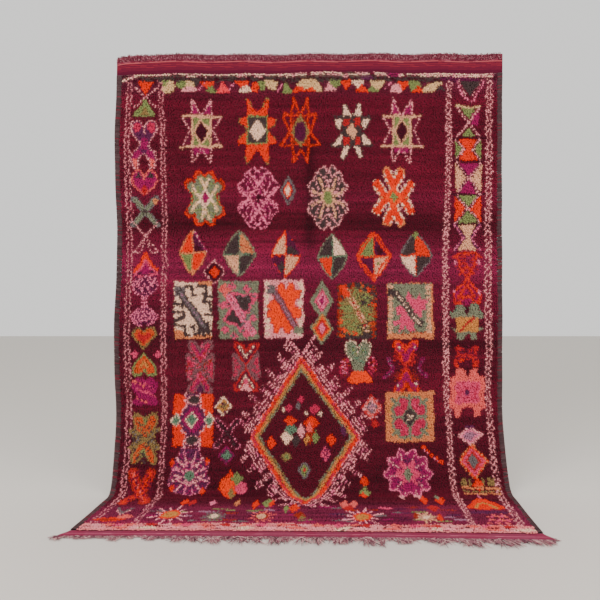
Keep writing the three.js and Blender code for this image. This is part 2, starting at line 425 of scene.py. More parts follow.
TOOLS = {
    "diamond": simple(lambda u, v: np.abs(u) + np.abs(v) < 1),
    "oval": simple(lambda u, v: u**2 + v**2 < 1),
    "block": simple(lambda u, v: np.maximum(np.abs(u), np.abs(v)) < 1),
    "speckle": speckle, "quartered": quartered, "nested": nested, "parted": parted, "lattice": lattice,
    "blossom": blossom, "star": star, "hearts": hearts, "spiky": spiky,
}


def dotted_pair(loom, path, spread, span, yarn, step, lean):
    """Two strands of dashes side by side, down a path of places: distance down, across."""
    for hand, late in ((-1, 0), (1, step / 2)):
        for count, start in enumerate(np.arange(span[0] + late, span[1], step)):
            across = np.interp(start, path[::2], path[1::2]) + hand * spread
            tilt = lean if count % 2 else -lean
            loom.line([(across + tilt, start), (across - tilt, start + step * 0.6)], (5.6, yarn))


def sprigs(loom, start, end, reach, lean, step):
    """Sprigs that stand out from a line, each a row of short slanting dashes."""
    run = np.subtract(end, start)
    length = np.hypot(*run)
    count = max(int(length / step), 1)
    for i in range(count):
        root = np.array(start) + (i + 0.5 + 0.22 * np.sin(i * 3.7)) / count * run
        out = reach * (0.72 + 0.28 * np.sin(i * 2.4))
        way = np.array([run[1] / length, -run[0] / length]) * out + [0, lean]
        slant = np.array([-0.6 * np.sign(way[0] * way[1]), 0.8])
        for leaf in range(int(out / 13) + 1):
            at = root + way * (leaf + 0.2) * 13 / out
            half = (11, 7, 12)[(leaf + i) % 3]
            yarn = "rose" if (leaf + i) % 4 == 0 else "petal"
            loom.line([tuple(at - slant * half), tuple(at + slant * half)], (5.6, yarn))


# The charts. A row names a tool, its yarns and its places, in mm across and down the rug from the middle
# that the last "at" row set. A line has the width and yarn of each stroke, and 17/5 for a dash and its gap;
# a box, an oval or a diamond has its half sizes before its places. | mirrors a row about its middle and
# + upends it too, and ; starts another outline. "edged" rings outlines before it fills them.
HEAD_LINES = """
at -90,114
block 720,20 charcoal
speckle 1100,30 .45 dark
at 0,0
block 26,12 violet 272,122
block 90,12 plum 720,120
line 11 blush 7 cream 50/14 -900,118 -850,109 -820,102 -260,102 -60,106 880,106
line 13 magenta 378,105 424,105
block 9,8 wine -6,105 296,105 462,105
"""

WEDGES = """
straw -704,178 -706,135 -668,134 -650,148 -652,174 -670,180
moss -705,154 -705,134 -674,134 -688,156
charcoal -566,129 -529,129 -546,156
moss -640,150 -620,134 -588,134 -596,169 -616,164
straw -596,134 -566,134 -556,156 -600,156
blush -610,177 -598,154 -558,154 -542,180
orange -520,134 -462,134 -476,154 -500,156
moss -488,180 -484,153 -468,153 -446,180
coral -442,180 -416,135 -388,180
orange -362,134 -290,134 -306,159 -322,159
cream -336,180 -318,158 -298,148 -270,180
orange -272,178 -266,142 -250,142 -250,178
moss -248,134 -212,134 -222,170 -236,166
straw -214,132 -156,132 -168,169 -204,156
moss -130,180 -112,140 -84,180
orange -80,180 -52,143 -24,180
straw -60,148 -40,130 8,129 40,138 62,175 -8,172
orange -14,180 4,154 30,180
blush 74,175 92,145 124,175
moss 94,134 148,129 136,151 116,159
orange 146,130 198,132 176,166
cream 200,137 258,137 236,174
orange 220,182 246,150 278,182
straw 292,137 358,135 336,169 300,164
moss 276,180 296,162 330,180
blush 390,182 396,154 420,145 440,182
orange 420,138 476,137 444,170
moss 470,135 520,140 530,161 490,172
orange 494,182 514,154 544,182
straw 546,180 548,167 574,140 636,142 614,156 596,180
charcoal 606,180 624,161 646,180
"""

LEFT_COLUMN = """
at -785,163
fill orange -42,-33 38,-33 0,27
line 8 blush 11/7 -48,-3 48,87 ; 48,-3 -48,87
at -785,256
fill moss 0,-42 54,40 -54,40
fill olive 0,-8 22,34 -22,34
at -785,430
fill violet | 0,-50 6,-92 28,-116 54,-106 62,-72 44,-36 20,-8 22,16 54,44 62,76 48,114 28,114 26,74 10,52 0,50
fill berry | 12,-88 30,-108 50,-96 50,-68 28,-54
oval 18,30 magenta 0,-2
fill magenta | 18,22 50,46 56,74 30,74 8,46
fill salmon | 30,74 56,74 44,112 30,112
line 8 blush 10/6 | 0,-50 6,-92 28,-116 54,-106 62,-72 44,-36 20,-8 22,16 54,44 62,76
 48,114 28,114 26,74 10,52 0,50
at -785,612
fill magenta | 0,-10 12,-44 28,-60 46,-44 62,-8 46,26 16,50 0,62
fill charcoal | 12,-18 28,-52 44,-20
line 9 salmon 16/4 | 0,-10 12,-44 28,-60 46,-44 62,-8 46,26 16,50 0,62
diamond 18,26 red 0,44
at -785,755
line 30 slate | 56,-62 0,0 56,62
line 18 sage | 50,-58 0,0 50,58
diamond 16,18 tan 50,-49
diamond 20,14 charcoal
at -785,872
line 7 blush 10/6 | 60,-66 0,0 ; 4,6 58,76 26,80 8,14
at -785,1060
fill plum | 0,-102 30,-44 62,-8 42,14 64,44 46,84 0,104
fill magenta | 0,-96 16,-50 30,-20 0,-6
line 20 orange | 0,-100 28,-46 50,-20
line 9 pink | 0,-76 24,-34 56,-4 12,4
line 7 rose 13/5 | 40,14 62,44 44,82 0,104 ; 0,4 42,62 ; 46,20 6,88 ; 20,12 56,54 ; 0,40 30,92
line 7 rose -12,109 0,116 12,109 ; -12,127 0,134 12,127 ; -12,145 0,152 12,145
at -785,1250
fill plum | 0,-34 26,-28 64,8 52,36 20,50 0,40
line 8 rose 18/4 | 0,-38 30,-28 64,8 50,38 20,50 ; 0,-20 30,4 22,28 0,26 ; 30,-14 48,12 34,34 ; 0,4 12,14
at -785,1362
fill olive | 0,56 58,-14 48,-50 20,-52 0,-30
fill amber | 0,42 46,-12 38,-42 18,-42 0,-20
fill red | 0,30 34,-8 24,-30 0,-8
at -785,1490
fill moss | 0,-60 56,6 60,48 40,58 20,54 0,30
fill amber | 0,-50 44,6 50,38 34,46 18,40 0,14
fill gold | 0,-26 22,8 14,22 0,-2
diamond 18,22 pink -43,-50 63,-50
at -785,1622
fill magenta | 0,-62 30,-72 62,-40 58,-14 42,8 40,24 66,58 40,66 0,58
line 8 salmon 18/5 -54,-54 -8,-26
line 8 pink 18/5 -8,-44 38,-16 ; -40,-20 6,8 ; 0,-4 46,24
line 8 salmon 18/5 -44,22 2,50
at -785,1840
line 22 olive | 64,-40 14,0 64,44
line 7 slate 12/8 | 60,-36 22,0 60,40
fill olive | 0,-92 22,-118 52,-120 64,-92 48,-40 18,2 0,8
fill amber | 0,-62 24,-102 46,-104 52,-84 36,-40 0,-4
fill olive | 0,2 24,14 54,52 64,100 52,120 32,116 0,76
fill amber | 0,16 28,40 50,88 46,110 34,106 0,54
diamond 15,20 moss 0,-80 0,68
speckle 54,116 .26 olive
speckle 60,116 .14 charcoal
at -785,2090
line 50 rust 38 red 16 orange | 40,-92 30,-60 0,0 34,60 46,100
line 9 salmon 16/12 -40,-92 40,96
speckle 60,112 .34 wine
at -790,2280
line 9 slate -34,-28 0,26 34,-28
line 8 blush 11/6 -30,-4 0,44 30,-4
diamond 36,32 salmon 25,65
diamond 74,25 orange -24,90
diamond 50,13 rust -32,92
"""

RIGHT_COLUMN = """
at 766,172
fill charcoal -46,-42 50,-42 2,34
line 9 rose 12/5 | 66,-38 26,42 0,56
line 6 blush 9/8 | 54,-44 18,30
at 762,330
line 9 straw -58,-76 58,-78
block 20,26 magenta 34,-18
line 9 blush 11/5 | 0,0 58,-76 ; 0,0 54,66
fill moss -40,-70 40,-70 0,-18 ; -34,66 34,66 0,22
block 84,5 dark 0,74
parted 62,47 20 orange moss -2,128
block 74,5 dark 0,180
at 762,596
parted 62,74 magenta sand
block 82,5 dark 0,78
parted 64,66 moss orange -4,148
block 70,4 dark 0,219
at 756,882
fill sand + -1,-1 8,-1 46,60 -1,60
line 11 violet | 64,-62 16,0 60,58
line 8 rose 10/7 | 66,-60 20,0 62,56
speckle 56,56 .34 red -1,128
at 755,1075
speckle 62,50 .5 magenta 0,75
line 15 red 26/4 7 orange 15/8 | 6,-116 34,-122 62,-104 ; 48,-110 34,-60 4,0 ; 0,-60 28,-20 ;
 0,0 36,46 62,76 56,116 34,118 24,88 0,82 ; 0,30 40,92
diamond 8,14 rose -56,-76 56,-76 -60,66 60,66
at 755,1275
fill sage | 8,-64 28,-80 52,-72 56,-48 82,-32 76,-8 0,-8
line 6 jade 12/7 | 10,-62 30,-76 52,-68 58,-44 80,-30
fill sage | 0,34 84,38 62,54 46,62 48,94 20,96 14,72 0,66
block 54,36 gold 0,23
line 14 orange | -60,8 -60,40
line 11 red -36,55 34,-11
oval 12,18 dark 0,-49
at 751,1462
fill red | 12,-46 40,-66 58,-58 44,-22 62,4 56,40 34,38 24,8 0,2 0,-26
line 9 orange 16/5 | 14,-6 44,16 44,38
speckle 56,50 .3 wine 0,-14
at 755,1628
fill salmon | 16,-116 50,-122 54,-84 84,-76 86,-40 76,-8 82,30 88,66 64,72 60,108 36,110 28,72 0,66 0,-78
fill pink | 0,-66 58,-60 64,-28 52,2 62,40 40,52 0,48
line 8 berry 14/6 | 20,-54 50,-40 30,0 50,36
speckle 50,44 .3 berry
oval 11,17 violet 0,-6
at 763,1825
nested 64,46 14 blush rose mauve
oval 24,8 violet 1,-41
at 768,1944
nested 70,82 14 orange pink red slate
line 8 tan 12/9 | 0,-80 68,0 0,80
block 12,18 olive -54,94
block 6,18 olive -26,94 32,94
block 15,18 olive 66,94
diamond 26,32 orange 8,108
line 11 tan -64,118 98,124
line 8 olive 30/8 -64,136 98,141
line 9 tan -64,150 98,154
line 7 rose -4,160 -4,196
at 762,2206
fill orange | 0,-66 22,-58 62,-4 84,40 60,54 0,58
line 16 gold | 0,-14 28,6 46,44
block 80,12 violet 0,86
lattice 64,44 pink salmon 23,144
"""

HORNED_SQUARE = """
fill wine | 44,-66 82,-62 54,-6 82,62 44,66
fill magenta | 8,-84 43,-150 46,-80
block 34,17 magenta 0,90
line 8 blush 13/5 | 6,-80 43,-154 48,-78
line 8 blush 10/6 | 88,-62 54,-5 90,66
line 8 blush 9/6 | 44,78 42,150 12,104 6,84
block 46,68 moss
diamond 42,70 sand
diamond 30,54 dark
line 12 sand | 42,-68 42,68 ; 0,-71 90,-73 ; 0,70 94,72
"""

FIRST_ROW = """
at -249,366
fill orange | 0,-68 0,-84 26,-112 42,-152 52,-152 47,-68 ; 44,-68 84,-58 86,-36 46,-4 ;
 44,-2 92,54 88,69 44,68 ; 0,70 0,90 38,154 54,158 54,70
line 6 olive 9/5 | 28,-110 44,-156 52,-150 ; 40,150 50,160 56,130 ; 86,-56 88,-34 50,-2 92,54
block 49,70 moss
block 42,62 charcoal
diamond 42,52 cream
at -46,372
line 11 rust 7 orange 30/5 | 6,-92 36,-163 40,-76 ; 40,-76 74,-90 76,-66 50,4 92,64 ; 4,94 34,148 40,74 ;
 0,-78 76,-80 ; 0,64 94,66 ; 42,-76 42,64
block 36,62 rust
diamond 46,84 olive
oval 28,50 plum
at 202,372
edged 9 charcoal cream | 0,-80 16,-84 28,-126 42,-126 48,-72 0,-68 ; 50,-60 86,-58 70,-22 54,-8 ;
 54,66 96,64 52,10 ; 8,72 36,72 54,124 40,130
block 46,68 charcoal
line 10 charcoal | 0,-68 88,-72 ; 0,68 92,70
block 15,19 red -28,-42 27,-44 -29,46 26,44
diamond 34,50 charcoal
diamond 25,38 sand
"""

GREEN_FLAKE = """
speckle 70,110 .3 moss
line 15 straw 9 cream 18/12 + 0,0 0,48 18,94 ; 0,0 34,14 60,58
line 7 orange + 34,130 40,100 58,92
diamond 34,52 cream
diamond 19,34 magenta
"""

LOBED_FLAKE = """
fill BODY + -1,-1 -1,122 16,146 38,134 58,112 66,82 92,62 84,32 66,16 64,-1
line 8 EDGE 17/5 + -1,122 16,146 38,134 58,112 66,82 92,62 84,32 66,16
line 7 EDGE 16/7 + 4,26 6,66 24,100 40,118 ; 0,74 14,92 8,126 ; 10,10 40,34 52,66 50,100 ;
 26,22 60,30 78,56 ; 22,56 34,84 30,112 ; 44,12 66,8 80,32
speckle 73.6,122.64 .14 FLECK
"""

SECOND_ROW = """
at -245,690
line 11 rose 22/4 + 46,0 2,66 ; 46,2 88,48 ; 2,66 42,120
diamond 14,22 dark
at -102,656
diamond 36,74 slate
diamond 26,54 plum
diamond 21,44 flame
diamond 13,32 cream
at 88,690
line 9 sand + 16,20 34,74 40,96 ; 22,12 62,26 74,40
diamond 36,54 sand
oval 21,31 moss
at 403,688
diamond 44,62 flame
diamond 20,28 moss
"""

THIRD_ROW = """
at -559,952
quartered 68,108 tan tan orange plum moss orange
fill dark 4,-6 50,-6 14,-44
line 9 magenta 7 blush 8/14 8,-104 66,-6
diamond 14,24 tan 1,94
at -336,959
quartered 82,112 sage jade charcoal tan sand charcoal
line 7 rust 14/8 8,-40 60,-24
diamond 14,16 sage 0,1
at -115,965
quartered 72,112 orange orange sand plum plum sand
fill charcoal 6,-42 30,-48 58,-10 6,-6
line 10 plum 8,-104 66,-12 ; -66,14 -8,100
diamond 20,30 charcoal -17,57
at 306,971
quartered 72,112 sage jade charcoal cream orange charcoal -197,0
quartered 86,116 orange orange moss plum plum sand
line 9 orange | 0,-104 78,0 0,104
diamond 20,22 dark 30,-27
diamond 9,11 moss 28,33
at 509,965
quartered 80,112 slate orange charcoal orange cream charcoal
diamond 16,26 moss 0,-97
at -456,1046
diamond 46,60 dark
diamond 26,30 orange 0,2
line 8 blush 10/6 | 0,-62 50,0 0,62
"""

FRET_PANEL = """
at -555,1228
block 88,136 cream
block 34,12 tan 55,-124
block 26,26 slate -61,-90
fill tan -88,92 -40,100 -20,136 -88,136 ; -20,124 88,116 88,136 -20,136
line 14 charcoal -30,-118 -2,-118 -2,-72 18,-72 ; 24,-118 58,-118 58,-74 38,-74 ; -88,-30 -52,-30 -52,-12 ;
 -88,8 -46,8 -46,30 -84,50 ; -88,66 -62,74 ; 88,-62 58,-62 58,-38 ; 50,-34 78,-34 78,0 88,0 ; 60,22 86,22 ;
 -64,74 -38,74 -38,118 -24,118 ; -10,76 6,76 6,116 26,116 ; 30,78 30,118 ; 52,80 52,124 ; 70,60 70,120 ;
 40,98 84,98
line 38 charcoal -60,-84 54,84
line 18 slate -58,-84 54,82
line 12 mauve 6/14 -48,-74 50,74
"""

GREEN_AND_ORANGE_PANELS = """
at -341,1227
block 94,139 sage
spiky 94,139 4.6 sage
edged 26 pink charcoal -22,-74 20,-64 78,-74 74,-46 52,-28 44,4 16,0 -8,-36 ;
 -73,-25 -41,-29 -28,-8 -41,19 -64,50 -41,60 -20,56 0,75 16,96 14,64 26,52 4,20 -20,-10
line 36 pink 29 rose 12 pink 12/8 -48,-66 66,104
diamond 30,34 salmon -64,-95
diamond 22,20 pink -30,-112 40,-104 -66,96 40,112 72,40 -78,-20 76,-60 -20,124
speckle 100,150 .12 slate
at -125,1222
block 94,141 blush
spiky 90,137 4.6 cream
edged 8 red flame -32,-80 -24,-118 -4,-120 2,-92 20,-96 26,-122 46,-120 53,-86 75,-90 72,-54 50,-44 53,-10
 82,-4 80,34 48,46 32,36 16,8 -8,-32 ;
 -40,-44 -68,-28 -80,-16 -58,-4 -80,16 -78,36 -60,46 -64,68 -48,76 -48,112 -32,116 -22,90 -4,84 10,116
 28,116 36,90 50,92 40,76 16,44 -16,-8
line 36 red 29 taupe 12 mauve 12/8 -54,-94 60,92
block 20,22 slate -61,-96
block 22,16 sage 71,104
at 60,1184
nested 58,98 11 sage sage pink rose magenta
nested 54,84 9 sage gold orange red rose 1,132
at 227,1233
block 92,132 charcoal
spiky 92,132 4.6 rust
"""

JAGGED = """-20,-110 -4,-120 4,-88 20,-120 32,-86 50,-114 54,-78 82,-76 58,-54 82,-38 54,-24 58,0 84,8 70,26
 84,44 50,44 16,2 -20,-64"""

TEETH_AND_PINK_PANEL = """
at 227,1233
diamond 18,34 orange -62,-100
diamond 13,26 rust -22,-112
diamond 13,30 amber 18,-110
diamond 13,26 orange 56,-106
diamond 20,15 rust -78,8
diamond 16,12 flame -76,44
diamond 22,15 orange 72,-34
diamond 20,13 rust 74,16
diamond 22,14 amber 70,62
diamond 22,12 flame -60,92
diamond 26,12 orange -20,106
diamond 18,9 amber -70,122
speckle 84,120 .4 olive
speckle 50,60 .3 charcoal 45,-83
speckle 54,40 .3 charcoal 43,97
line 26 orange -70,-116 -46,-84
at 480,1228
block 110,132 tan 4,4
block 102,126 sage
spiky 102,126 4.6 sand
edged 9 sage pink -21,-46 -9,-91 8,-60 32,-53 46,-89 58,-53 94,-49 75,-22 84,2 56,-3 60,31 36,50 22,26
 -7,-12 ; -40,-22 -69,-8 -64,21 -40,21 -55,50 -83,50 -79,74 -45,64 -55,103 -34,91
 -21,74 3,107 22,103 17,69 28,55 3,21
 -21,-12
line 36 sage 29 charcoal 12 cream 12/8 -66,-84 50,66
block 18,16 charcoal -84,-84
block 104,13 tan 0,122
speckle 108,26 .12 rust 4,108
"""

FIFTH_ROW = """
at -523,1502
hearts 1,128 berry taupe magenta taupe berry
speckle 68,76 .12 rust
speckle 60,126 .12 pink
diamond 20,24 violet 0,110
at -305,1500
hearts 1,118 wine red cream taupe berry
fill blush 0,66 30,114 -30,114
diamond 13,20 pink 0,72
at 232,1440
fill sage | 0,-8 14,-58 34,-70 62,-54 62,-8 38,30 22,78 0,78
speckle 44,50 .3 jade
line 8 cream 11/8 | 0,-10 14,-60 36,-70 62,-52 60,-8 38,30
line 8 moss 14/6 | 10,0 30,-30
speckle 24,46 .45 rust -64,60
speckle 24,46 .4 berry -64,60
speckle 24,46 .12 rose -64,60
speckle 22,46 .45 rust 66,56
speckle 22,46 .4 berry 66,56
speckle 22,46 .12 rose 66,56
at 238,1524
fill flame | 0,-6 30,-4 58,34 52,52 0,52
at 460,1500
hearts 1,128 magenta orange magenta red
speckle 60,60 .25 red 0,-60
speckle 60,60 .25 rust 0,60
diamond 14,18 magenta -34,-88 45,-92 -38,87 49,83
diamond 7,9 cream -34,-88 45,-92 -38,87 49,83
line 17 magenta 9 mauve 8/10 5 plum -100,46 -60,4 -84,-44 ; 100,46 60,4 84,-44
"""

IN_THE_DIAMOND = """
at -39,1446
line 14 petal 9/6 0,0 -73,-90
line 5 magenta 8/7 0,-6 -58.6,-66
line 14 petal 9/6 0,0 69,-90
line 5 magenta 8/7 0,-6 55,-66
at -26,1832
diamond 24,32 charcoal -40,20
diamond 32,40 cream -84,0
diamond 33,32 jade -62,-36
diamond 37,26 orange -66,-76
diamond 30,48 rust 30,-10
diamond 20,34 moss 54,4
diamond 16,24 gold 14,14
diamond 40,34 orange 34,-64
diamond 18,24 salmon 22,-42
diamond 20,40 blush -16,-26
diamond 24,34 orange -159,28
diamond 26,30 orange 127,15
diamond 30,26 olive -88,94
diamond 16,14 moss -86,92
diamond 36,44 slate -1,152
diamond 22,30 moss -1,152
diamond 10,14 red 0,152
diamond 28,38 pink 98,80
diamond 26,26 berry 48,-129
diamond 18,22 berry -76,-137
diamond 14,22 slate -30,-142
diamond 17,20 berry -17,-175
diamond 16,30 violet 186,-32
speckle 26,34 .4 plum 98,80
diamond 11,16 cream -101,-125 8,-108 77,-108
"""

SIXTH_ROW = """
at -556,1755
block 97,123 orange
line 13 blush 22/4 + 74,0 66,18 50,26 50,48 33,56 33,123
fill violet + -1,0 74,0 66,18 50,26 50,48 33,56 33,123 -1,123
fill magenta + -1,0 56,0 40,24 26,46 12,62 -1,62
oval 36,24 blush 4,-95 -2,95
oval 28,20 charcoal 4,-95 -2,95
diamond 34,42 cream -8,-2
diamond 26,33 jade -8,-2
diamond 28,36 cream -84,-2 78,-2
diamond 20,27 jade -84,-2 78,-2
at -414,1687
nested 38,50 11 cream gold olive
speckle 38,50 .12 plum
at -392,1816
line 28 rose 10/6 18 dark 5 charcoal 12/6 | 48,-58 0,0 48,58
at 293,1695
nested 50,64 11 red salmon slate mauve
speckle 44,54 .16 blush
diamond 18,26 red 16,75
at 476,1737
block 116,118 tan 0,-2
speckle 112,114 .34 gold 0,-2
fill sage + -1,-1 -1,84 24,104 54,98 62,74 84,54 86,22 70,-1
fill berry + -.86,-.86 -.86,72.24 20.64,89.44 46.44,84.28 53.32,63.64 72.24,46.44 73.96,18.92 60.2,-.86
speckle 66,84 .22 pink
line 15 sage + 0,24 0,100 ; 30,0 82,0 ; 52,60 84,84
diamond 46,56 sage
diamond 36,46 charcoal
speckle 16,20 .5 cream
"""

SEVENTH_ROW = """
at -564,2000
oval 24,24 jade 0,8
diamond 14,22 orange -82,-50 82,-54 -76,66 64,82
at -374,2064
nested 40,44 8 magenta violet jade -19,-148
diamond 52,84 orange
oval 34,32 flame -18,-14
oval 28,34 pink 52,2
diamond 30,32 moss 30,-44
diamond 16,46 olive 8,36
at 458,2002
blossom 116,124 10 .2 rose
blossom 107,114 10 .22 magenta
speckle 76,84 .3 violet
line 7 blush 15/6 | 17,-46 34,-92 ; 42,-29 84,-58 ; 46,5 92,10 ; 35,35 70,70 ; 13,47 26,94
blossom 60,72 6 .5 pink
blossom 40,30 5 .3 magenta 0,60
diamond 22,32 sage
fill blush -61,108 -31,108 -43,156 ; 14,108 44,108 32,156
line 17 orange 16/7 76,-120 159,-57
line 7 rose 9/9 82,-108 142,-64
at 251,2037
diamond 24,22 orange
diamond 24,36 moss 0,53
diamond 16,34 orange -8,75
"""

ON_THE_FLOOR = """
diamond 20,42 orange -556,2186
diamond 18,40 red -522,2186
diamond 14,46 tan -320,2198
diamond 18,56 orange -238,2214
diamond 26,54 moss -186,2196
diamond 13,40 orange -168,2204
diamond 20,50 salmon 150,2212
diamond 20,46 salmon 192,2206
diamond 26,34 red 170,2250
diamond 20,52 orange 506,2160
diamond 24,52 orange 576,2166
diamond 12,30 sage 568,2130
diamond 28,36 red 532,2246
diamond 24,52 orange -64,2252
diamond 10,46 moss -96,2262
diamond 28,36 rust -34,2322
diamond 14,24 olive -20,2344
diamond 14,30 rose -430,2196
diamond 36,14 pink 330,2250
diamond 14,40 rust 446,2330
diamond 14,44 orange 544,2340
star 90,90 petal gold orange -575,2322
star 54,54 slate cream sage -388,2336
star 56,56 salmon sand rust -192,2340
star 84,84 petal gold orange 226,2338
star 48,48 sand cream 490,2340
"""


def borders(loom):
    """The head lines, the row of wedges and the dotted pairs that run down both sides."""
    loom.weave(HEAD_LINES)
    for tool in ("ring 8", "fill"):
        loom.weave(WEDGES.rstrip().replace("\n", f"\n{tool} "))
    loom.weave("line 7 rose 14/5 -529,174 -505,142 ; -388,174 -364,142 ; -152,174 -128,142 ; 362,174 386,142")
    dotted_pair(loom, (0, -863), 9, (124, 2440), "faded", 16, 3)
    dotted_pair(loom, (124, -716, 240, -712, 330, -700, 450, -695), 8, (128, 2430), "faded", 16, 3)
    dotted_pair(loom, (500, 667, 880, 652, 1600, 652, 1760, 664), 8, (128, 2440), "blush", 15, 5)
    dotted_pair(loom, (500, 861, 880, 854, 1600, 854, 1760, 862), 9, (120, 2440), "blush", 15, 5)


def second_row(loom):
    """Four flakes: a green one, two with lobes and an orange one with nested outlines."""
    green = "-1,-1 -1,110 20,136 44,130 54,104 47,80 74,96 98,78 94,48 66,24 62,-1"
    for yarn, share in (("orange", 1), ("rust", 0.93), ("sage", 0.84)):
        loom.weave(f"fill {yarn} + {green}", (-501, 693), (share, share))
    loom.weave(GREEN_FLAKE, (-501, 693))
    for place, half, edge, body, fleck in (
        ((-245, 690), (97, 146), "rose", "wine", "magenta"),
        ((88, 690), (96, 150), "blush", "charcoal", "charcoal"),
    ):
        flake = LOBED_FLAKE.replace("BODY", body).replace("EDGE", edge).replace("FLECK", fleck)
        loom.weave(flake, place, (half[0] / 92, half[1] / 146))
    for stroke in ("58 blush 6/17", "46 cream", "46 tan 6/19", "27 orange", "40 orange 6/20"):
        loom.weave(f"line {stroke} + 0,0 0,54 34,118 ; 0,0 48,14 80,62", (403, 688))
    loom.weave(SECOND_ROW)


def fourth_row(loom):
    """Five panels, each with a slanting bar, and a pair of nested diamonds between them."""
    loom.weave(FRET_PANEL)
    loom.weave(GREEN_AND_ORANGE_PANELS)
    place = (227, 1233)
    wide, tall = 92 / 93, 132 / 140
    for tool in ("ring 9 olive", "fill moss"):
        for turn in (1, -1):
            loom.weave(f"{tool} {JAGGED}", place, (turn * wide, turn * tall))
    loom.weave("line 36 olive 29 sand 12 red 12/8 -52,-100 50,92", place, (wide, tall))
    loom.weave(TEETH_AND_PINK_PANEL)


def middle_diamond(loom):
    """The large diamond: sprigs round it, lines of many yarns one inside the other, small diamonds in it."""
    apex, left, right, foot = (-39, 1450), (-286, 1834), (236, 1830), (-24, 2216)
    for start, end, lean in ((left, apex, -20), (apex, right, -20), (foot, left, 16), (right, foot, 16)):
        sprigs(loom, start, end, 98, lean, 42)
        sprigs(loom, start, end, 50, lean * 0.3, 31)
    outline = "-13,-382 262,-2 2,384 -260,2"
    loom.weave(f"fill garnet {outline}", (-26, 1832))
    for stroke, share in (
        ("12 salmon 34/10", 0.985), ("25 orange", 0.945), ("9 berry 70/60", 0.96), ("8 red 60/20", 0.93),
        ("7 flame 46/20", 0.905), ("14 gold", 0.88), ("6 tan 30/16", 0.875), ("11 olive 70/5", 0.842),
        ("7 sage 50/24", 0.824),
    ):
        loom.weave(f"ring {stroke} {outline}", (-26, 1832), (share, share))
    loom.weave(IN_THE_DIAMOND)


def violet_flower(loom):
    """A violet flower edged in rose, with dashed veins from its heart."""
    place = (-564, 2000)
    loom.weave("""
line 9 rose 13/7 | 0,-108 42,-112 56,-64 90,-40 78,0 96,36 66,84 30,92 0,104
fill violet | 0,-108 42,-112 56,-64 90,-40 78,0 96,36 66,84 30,92 0,104
speckle 84,96 .3 magenta
""", place)
    for u, v in ((30, -96), (62, -70), (78, -20), (84, 34), (56, 78), (20, 92)):
        loom.line([(0, 6), (u, v)], (8, "petal" if v % 4 else "rose", 40 + v * 0.1, 8), place, True)
        loom.line([(u * 0.55 - 12, v * 0.55), (u * 0.85, v * 0.6 - 14)], (6, "blush"), place, True)


def on_the_floor(loom):
    """Faint flecks, small diamonds and a row of stars on the part that lies on the floor."""
    places = np.random.default_rng(7)
    for yarn in ("slate", "plum", "magenta", "rust", "mauve", "moss", "violet") * 9:
        x = places.uniform(-660, 630)
        y = places.uniform(2236, 2392)
        TOOLS["oval"](loom, (x, y), (places.uniform(16, 48), places.uniform(4, 9)), [yarn])
    loom.weave(ON_THE_FLOOR)


def foot_lines(loom):
    """The pink row with dark specks and the pale row under it, above the foot band."""
    wander = 5 * np.sin(loom.x / 130) + 4 * np.sin(loom.x / 47)
    loom.colour[loom.y > 2408 + wander] = YARN["shell"]
    for x in range(-860, 880, 58):
        yarn = ("blush", "salmon", "pink", "salmon", "red")[x // 58 % 5]
        loom.weave(f"diamond 34,15 {yarn} {x + 20 * np.sin(x)},2420")
        loom.weave(f"block {12 + 9 * np.sin(x * 2.3)},4 dark {x + 30 * np.cos(x * 1.7)},2431")
    loom.colour[loom.y > 2436 + wander * 0.6] = YARN["shell"]
    for x in range(-900, 900, 74):
        yarn = ("blush", "cream", "petal", "blush", "salmon")[x // 74 % 5]
        loom.weave(f"diamond 48,13 {yarn} {x + 24 * np.sin(x * 0.7)},2447")
    for x in range(-880, 890, 47):
        half = 7 + 5 * np.sin(x)
        loom.weave(f"block {half},3 wine {x + 18 * np.sin(x * 1.9)},{2446 + 9 * np.cos(x * 0.9)}")


def tied_rug(rng):
    """The whole pattern, from the head to the foot: what is tied later covers what is there."""
    loom = Loom(rng)
    borders(loom)
    for chart in (LEFT_COLUMN, RIGHT_COLUMN):
        loom.weave(chart)
    for x, y in ((-516, 372), (441, 371)):
        loom.weave(HORNED_SQUARE, (x, y))
    loom.weave(FIRST_ROW)
    second_row(loom)
    loom.weave(THIRD_ROW)
    fourth_row(loom)
    loom.weave(FIFTH_ROW)
    middle_diamond(loom)
    loom.weave(SIXTH_ROW)
    violet_flower(loom)
    loom.weave(SEVENTH_ROW)
    on_the_floor(loom)
    foot_lines(loom)
    return loom


def shared_with_neighbours(colours, share):
    """Each knot's hairs lie over the knots beside it, so the yarns run into one another a little."""
    wide = np.pad(colours, ((1, 1), (1, 1), (0, 0)), "edge")
    around = (wide[:-2, 1:-1] + wide[2:, 1:-1] + wide[1:-1, :-2] + wide[1:-1, 2:]) / 4
    return (1 - share) * colours + share * around


def keep(thing):
    """Puts a made thing into the scene."""
    bpy.context.scene.collection.objects.link(thing)
    return thing


def bare_mesh(name, points):
    """A mesh of points alone."""
    mesh = bpy.data.meshes.new(name)
    mesh.vertices.add(len(points))
    mesh.vertices.foreach_set("co", np.asarray(points, np.float32).ravel())
    return mesh


def mesh_object(name, points, faces):
    """A mesh from arrays: faces is a list of arrays, each of faces with as many corners as its columns."""
    mesh = bare_mesh(name, points)
    counts = np.concatenate([np.full(len(part), part.shape[1]) for part in faces])
    corners = np.concatenate([part.ravel() for part in faces])
    mesh.loops.add(len(corners))
    mesh.loops.foreach_set("vertex_index", corners.astype(np.int32))
    mesh.polygons.add(len(counts))
    mesh.polygons.foreach_set("loop_start", (np.cumsum(counts) - counts).astype(np.int32))
    mesh.update(calc_edges=True)
    mesh.validate()
    return bpy.data.objects.new(name, mesh)


